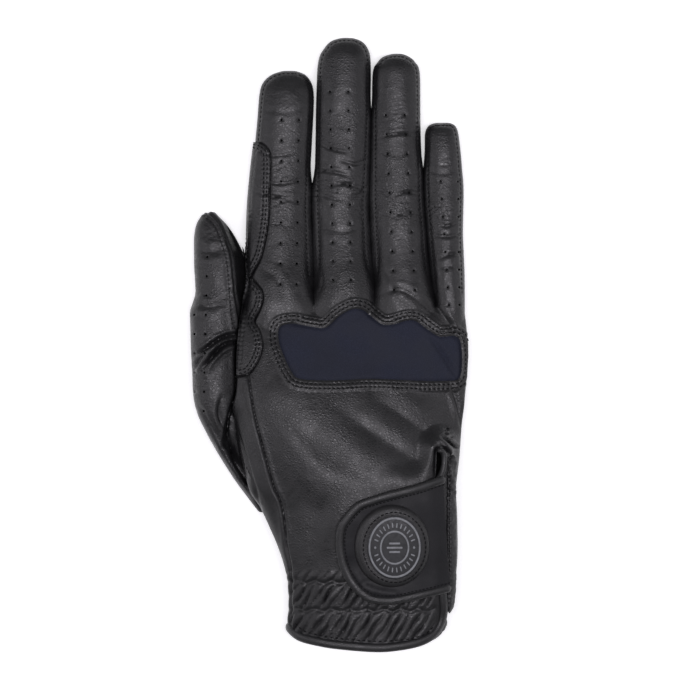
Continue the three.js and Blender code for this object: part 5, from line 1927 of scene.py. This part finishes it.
@dataclass
class Sewing:
    """All the rows of thread."""

    wardrobe: Wardrobe
    pad_row_centre: Pair = (25.6, -77.4)
    pad_row_radii: Pair = (11.9, 13.4)
    hem_margin: float = 4.3
    strap_margin: float = 3.55

    def build(self, outer: bpy.types.Object, face: bpy.types.Object, pad: bpy.types.Object) -> None:
        """Lays the thread on the leather, the strap and the badge's pad."""
        skin = Surface(outer)
        sign = outward(Lines.knuckle)
        rows = [StitchRow(inset(Lines.knuckle, sign * gap), closed=True) for gap in KNUCKLE_ROWS]
        self.sew("knuckle_thread", rows, skin)
        self.sew("finger_thread", [StitchRow(line) for line in Lines.finger_sides], skin, FINE_THREAD)
        patch = Surface(bpy.data.objects["index_reinforcement"])
        inward = self.patch_side()
        rows = [StitchRow(inset(Lines.patch, inward * gap, closed=False)) for gap in PATCH_ROWS]
        self.sew("patch_thread", rows, patch)
        ridge = inset(resample(plan(THUMB_RIDGE[:11]), 0.8), -1.0, closed=False)
        rows = [StitchRow(line, THUMB_PITCH) for line in (ridge, plan(THUMB_GUSSET))]
        self.sew("thumb_thread", rows, skin, FINE_THREAD)
        shown = resample(plan([spot for spot in HEM_CURVE if 289 <= spot[0] < 440]), 0.8)
        self.sew("hem_thread", [StitchRow(inset(shown, self.hem_margin, closed=False), 2.1)], skin)
        facing = Surface(bpy.data.objects["sewn_facing"])
        self.sew("facing_thread", [StitchRow(plan(FACING_ROW))], facing, (1.3, 0.42))
        strap = inset(Lines.strap_edge, -outward(Lines.strap) * self.strap_margin, closed=False)
        self.sew("strap_thread", [StitchRow(strap, 1.45)], Surface(face), (1.15, 0.5))
        oval = ellipse(self.pad_row_centre, self.pad_row_radii, 90)
        self.sew("pad_thread", [StitchRow(oval, closed=True)], Surface(pad))

    def patch_side(self) -> float:
        """Gives the sign that moves the patch's edge towards the finger's outer side."""
        return 1.0 if inset(Lines.patch, 1.0, closed=False)[:, 0].mean() < Lines.patch[:, 0].mean() else -1.0

    def sew(self, name: str, rows: list[StitchRow], surface: Surface, size: Pair = (1.4, 0.58)) -> None:
        """Makes one piece of thread, of stitches of the given length and width, and dresses it."""
        self.wardrobe.dress(stitches(name, rows, surface, size), Finish.THREAD)


@dataclass
class Studio:
    """The pale floor, the soft lights and the camera straight above."""

    distance: float = 1.6
    strip_power: float = 20.0
    right_power: float = 2.0
    left_power: float = 3.5
    world_power: float = 0.24
    floor_glow: float = 0.45
    sensor: float = 36.0
    sharp_height: float = 0.012  # the height in metres at which the picture has the plan's scale

    def build(self) -> None:
        """Sets up the studio."""
        self.floor()
        self.lamp("strip", (0.11, -0.02, 1.95), (0.26, 1.35), self.strip_power)
        self.lamp("right", (0.95, 0.10, 0.48), (0.9, 0.7), self.right_power)
        self.lamp("left", (-0.95, 0.0, 0.66), (0.9, 0.9), self.left_power)
        world = bpy.data.worlds.new("studio")
        world.use_nodes = True
        world.node_tree.nodes["Background"].inputs[0].default_value = (0.97, 0.98, 1.0, 1)
        world.node_tree.nodes["Background"].inputs[1].default_value = self.world_power
        scene = bpy.context.scene
        scene.world = world
        scene.view_settings.view_transform = "Standard"
        self.camera()

    def floor(self) -> None:
        """Lays a pale sheet under the glove."""
        bm = bmesh.new()
        bmesh.ops.create_grid(bm, x_segments=2, y_segments=2, size=4.0)
        floor = from_bmesh("floor", bm)
        sheet = NodeSheet("pale_floor")
        sheet.join(sheet.blend(sheet.noise(60, 2), (0.86, 0.865, 0.87), (0.9, 0.9, 0.9)), SOCKET.colour)
        sheet.hold(SOCKET.roughness, 0.8)
        sheet.hold(SOCKET.specular, 0.2)
        sheet.hold("Emission Strength", self.floor_glow)
        sheet.shader.inputs["Emission Color"].default_value = (1, 1, 1, 1)
        floor.data.materials.append(sheet.material)

    def lamp(self, name: str, place: tuple[float, float, float], size: Pair, power: float) -> None:
        """Hangs a soft lamp that faces the glove.

        Args:
            name: the lamp's name.
            place: where it hangs, in metres.
            size: its width and length, in metres.
            power: its power in watts.
        """
        data = bpy.data.lights.new(name, "AREA")
        data.shape = "RECTANGLE"
        data.size, data.size_y = size
        data.energy = power
        data.color = (1.0, 0.962, 1.03)
        lamp = bpy.data.objects.new(name, data)
        lamp.location = place
        lamp.rotation_euler = (Vector((0, 0, 0)) - Vector(place)).to_track_quat("-Z", "Y").to_euler()
        bpy.context.scene.collection.objects.link(lamp)

    def camera(self) -> None:
        """Hangs the camera straight above the glove, as the photograph sees it."""
        data = bpy.data.cameras.new("camera")
        data.sensor_width = self.sensor
        data.lens = self.sensor * (self.distance - self.sharp_height) / (PICTURE * STEP * MM)
        data.clip_end = 20
        camera = bpy.data.objects.new("camera", data)
        middle = PICTURE / 2
        camera.location = ((middle - PLAN_X) * STEP * MM, (PLAN_Y - middle) * STEP * MM, self.distance)
        bpy.context.scene.collection.objects.link(camera)
        bpy.context.scene.camera = camera


def main() -> None:
    """Builds the glove and the studio in order."""
    logging.basicConfig(level=logging.INFO, format="%(message)s")
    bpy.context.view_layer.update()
    Studio().build()
    wardrobe = Wardrobe()
    outer = LeatherShell(wardrobe).build()
    CuffEdges(wardrobe).build()
    face, pad = StrapAndBadge(wardrobe).build()
    Sewing(wardrobe).build(outer, face, pad)
    discard(outer)
    LOG.info("glove ready: %d pieces", len(wardrobe.pieces))


if __name__ == "__main__":
    main()
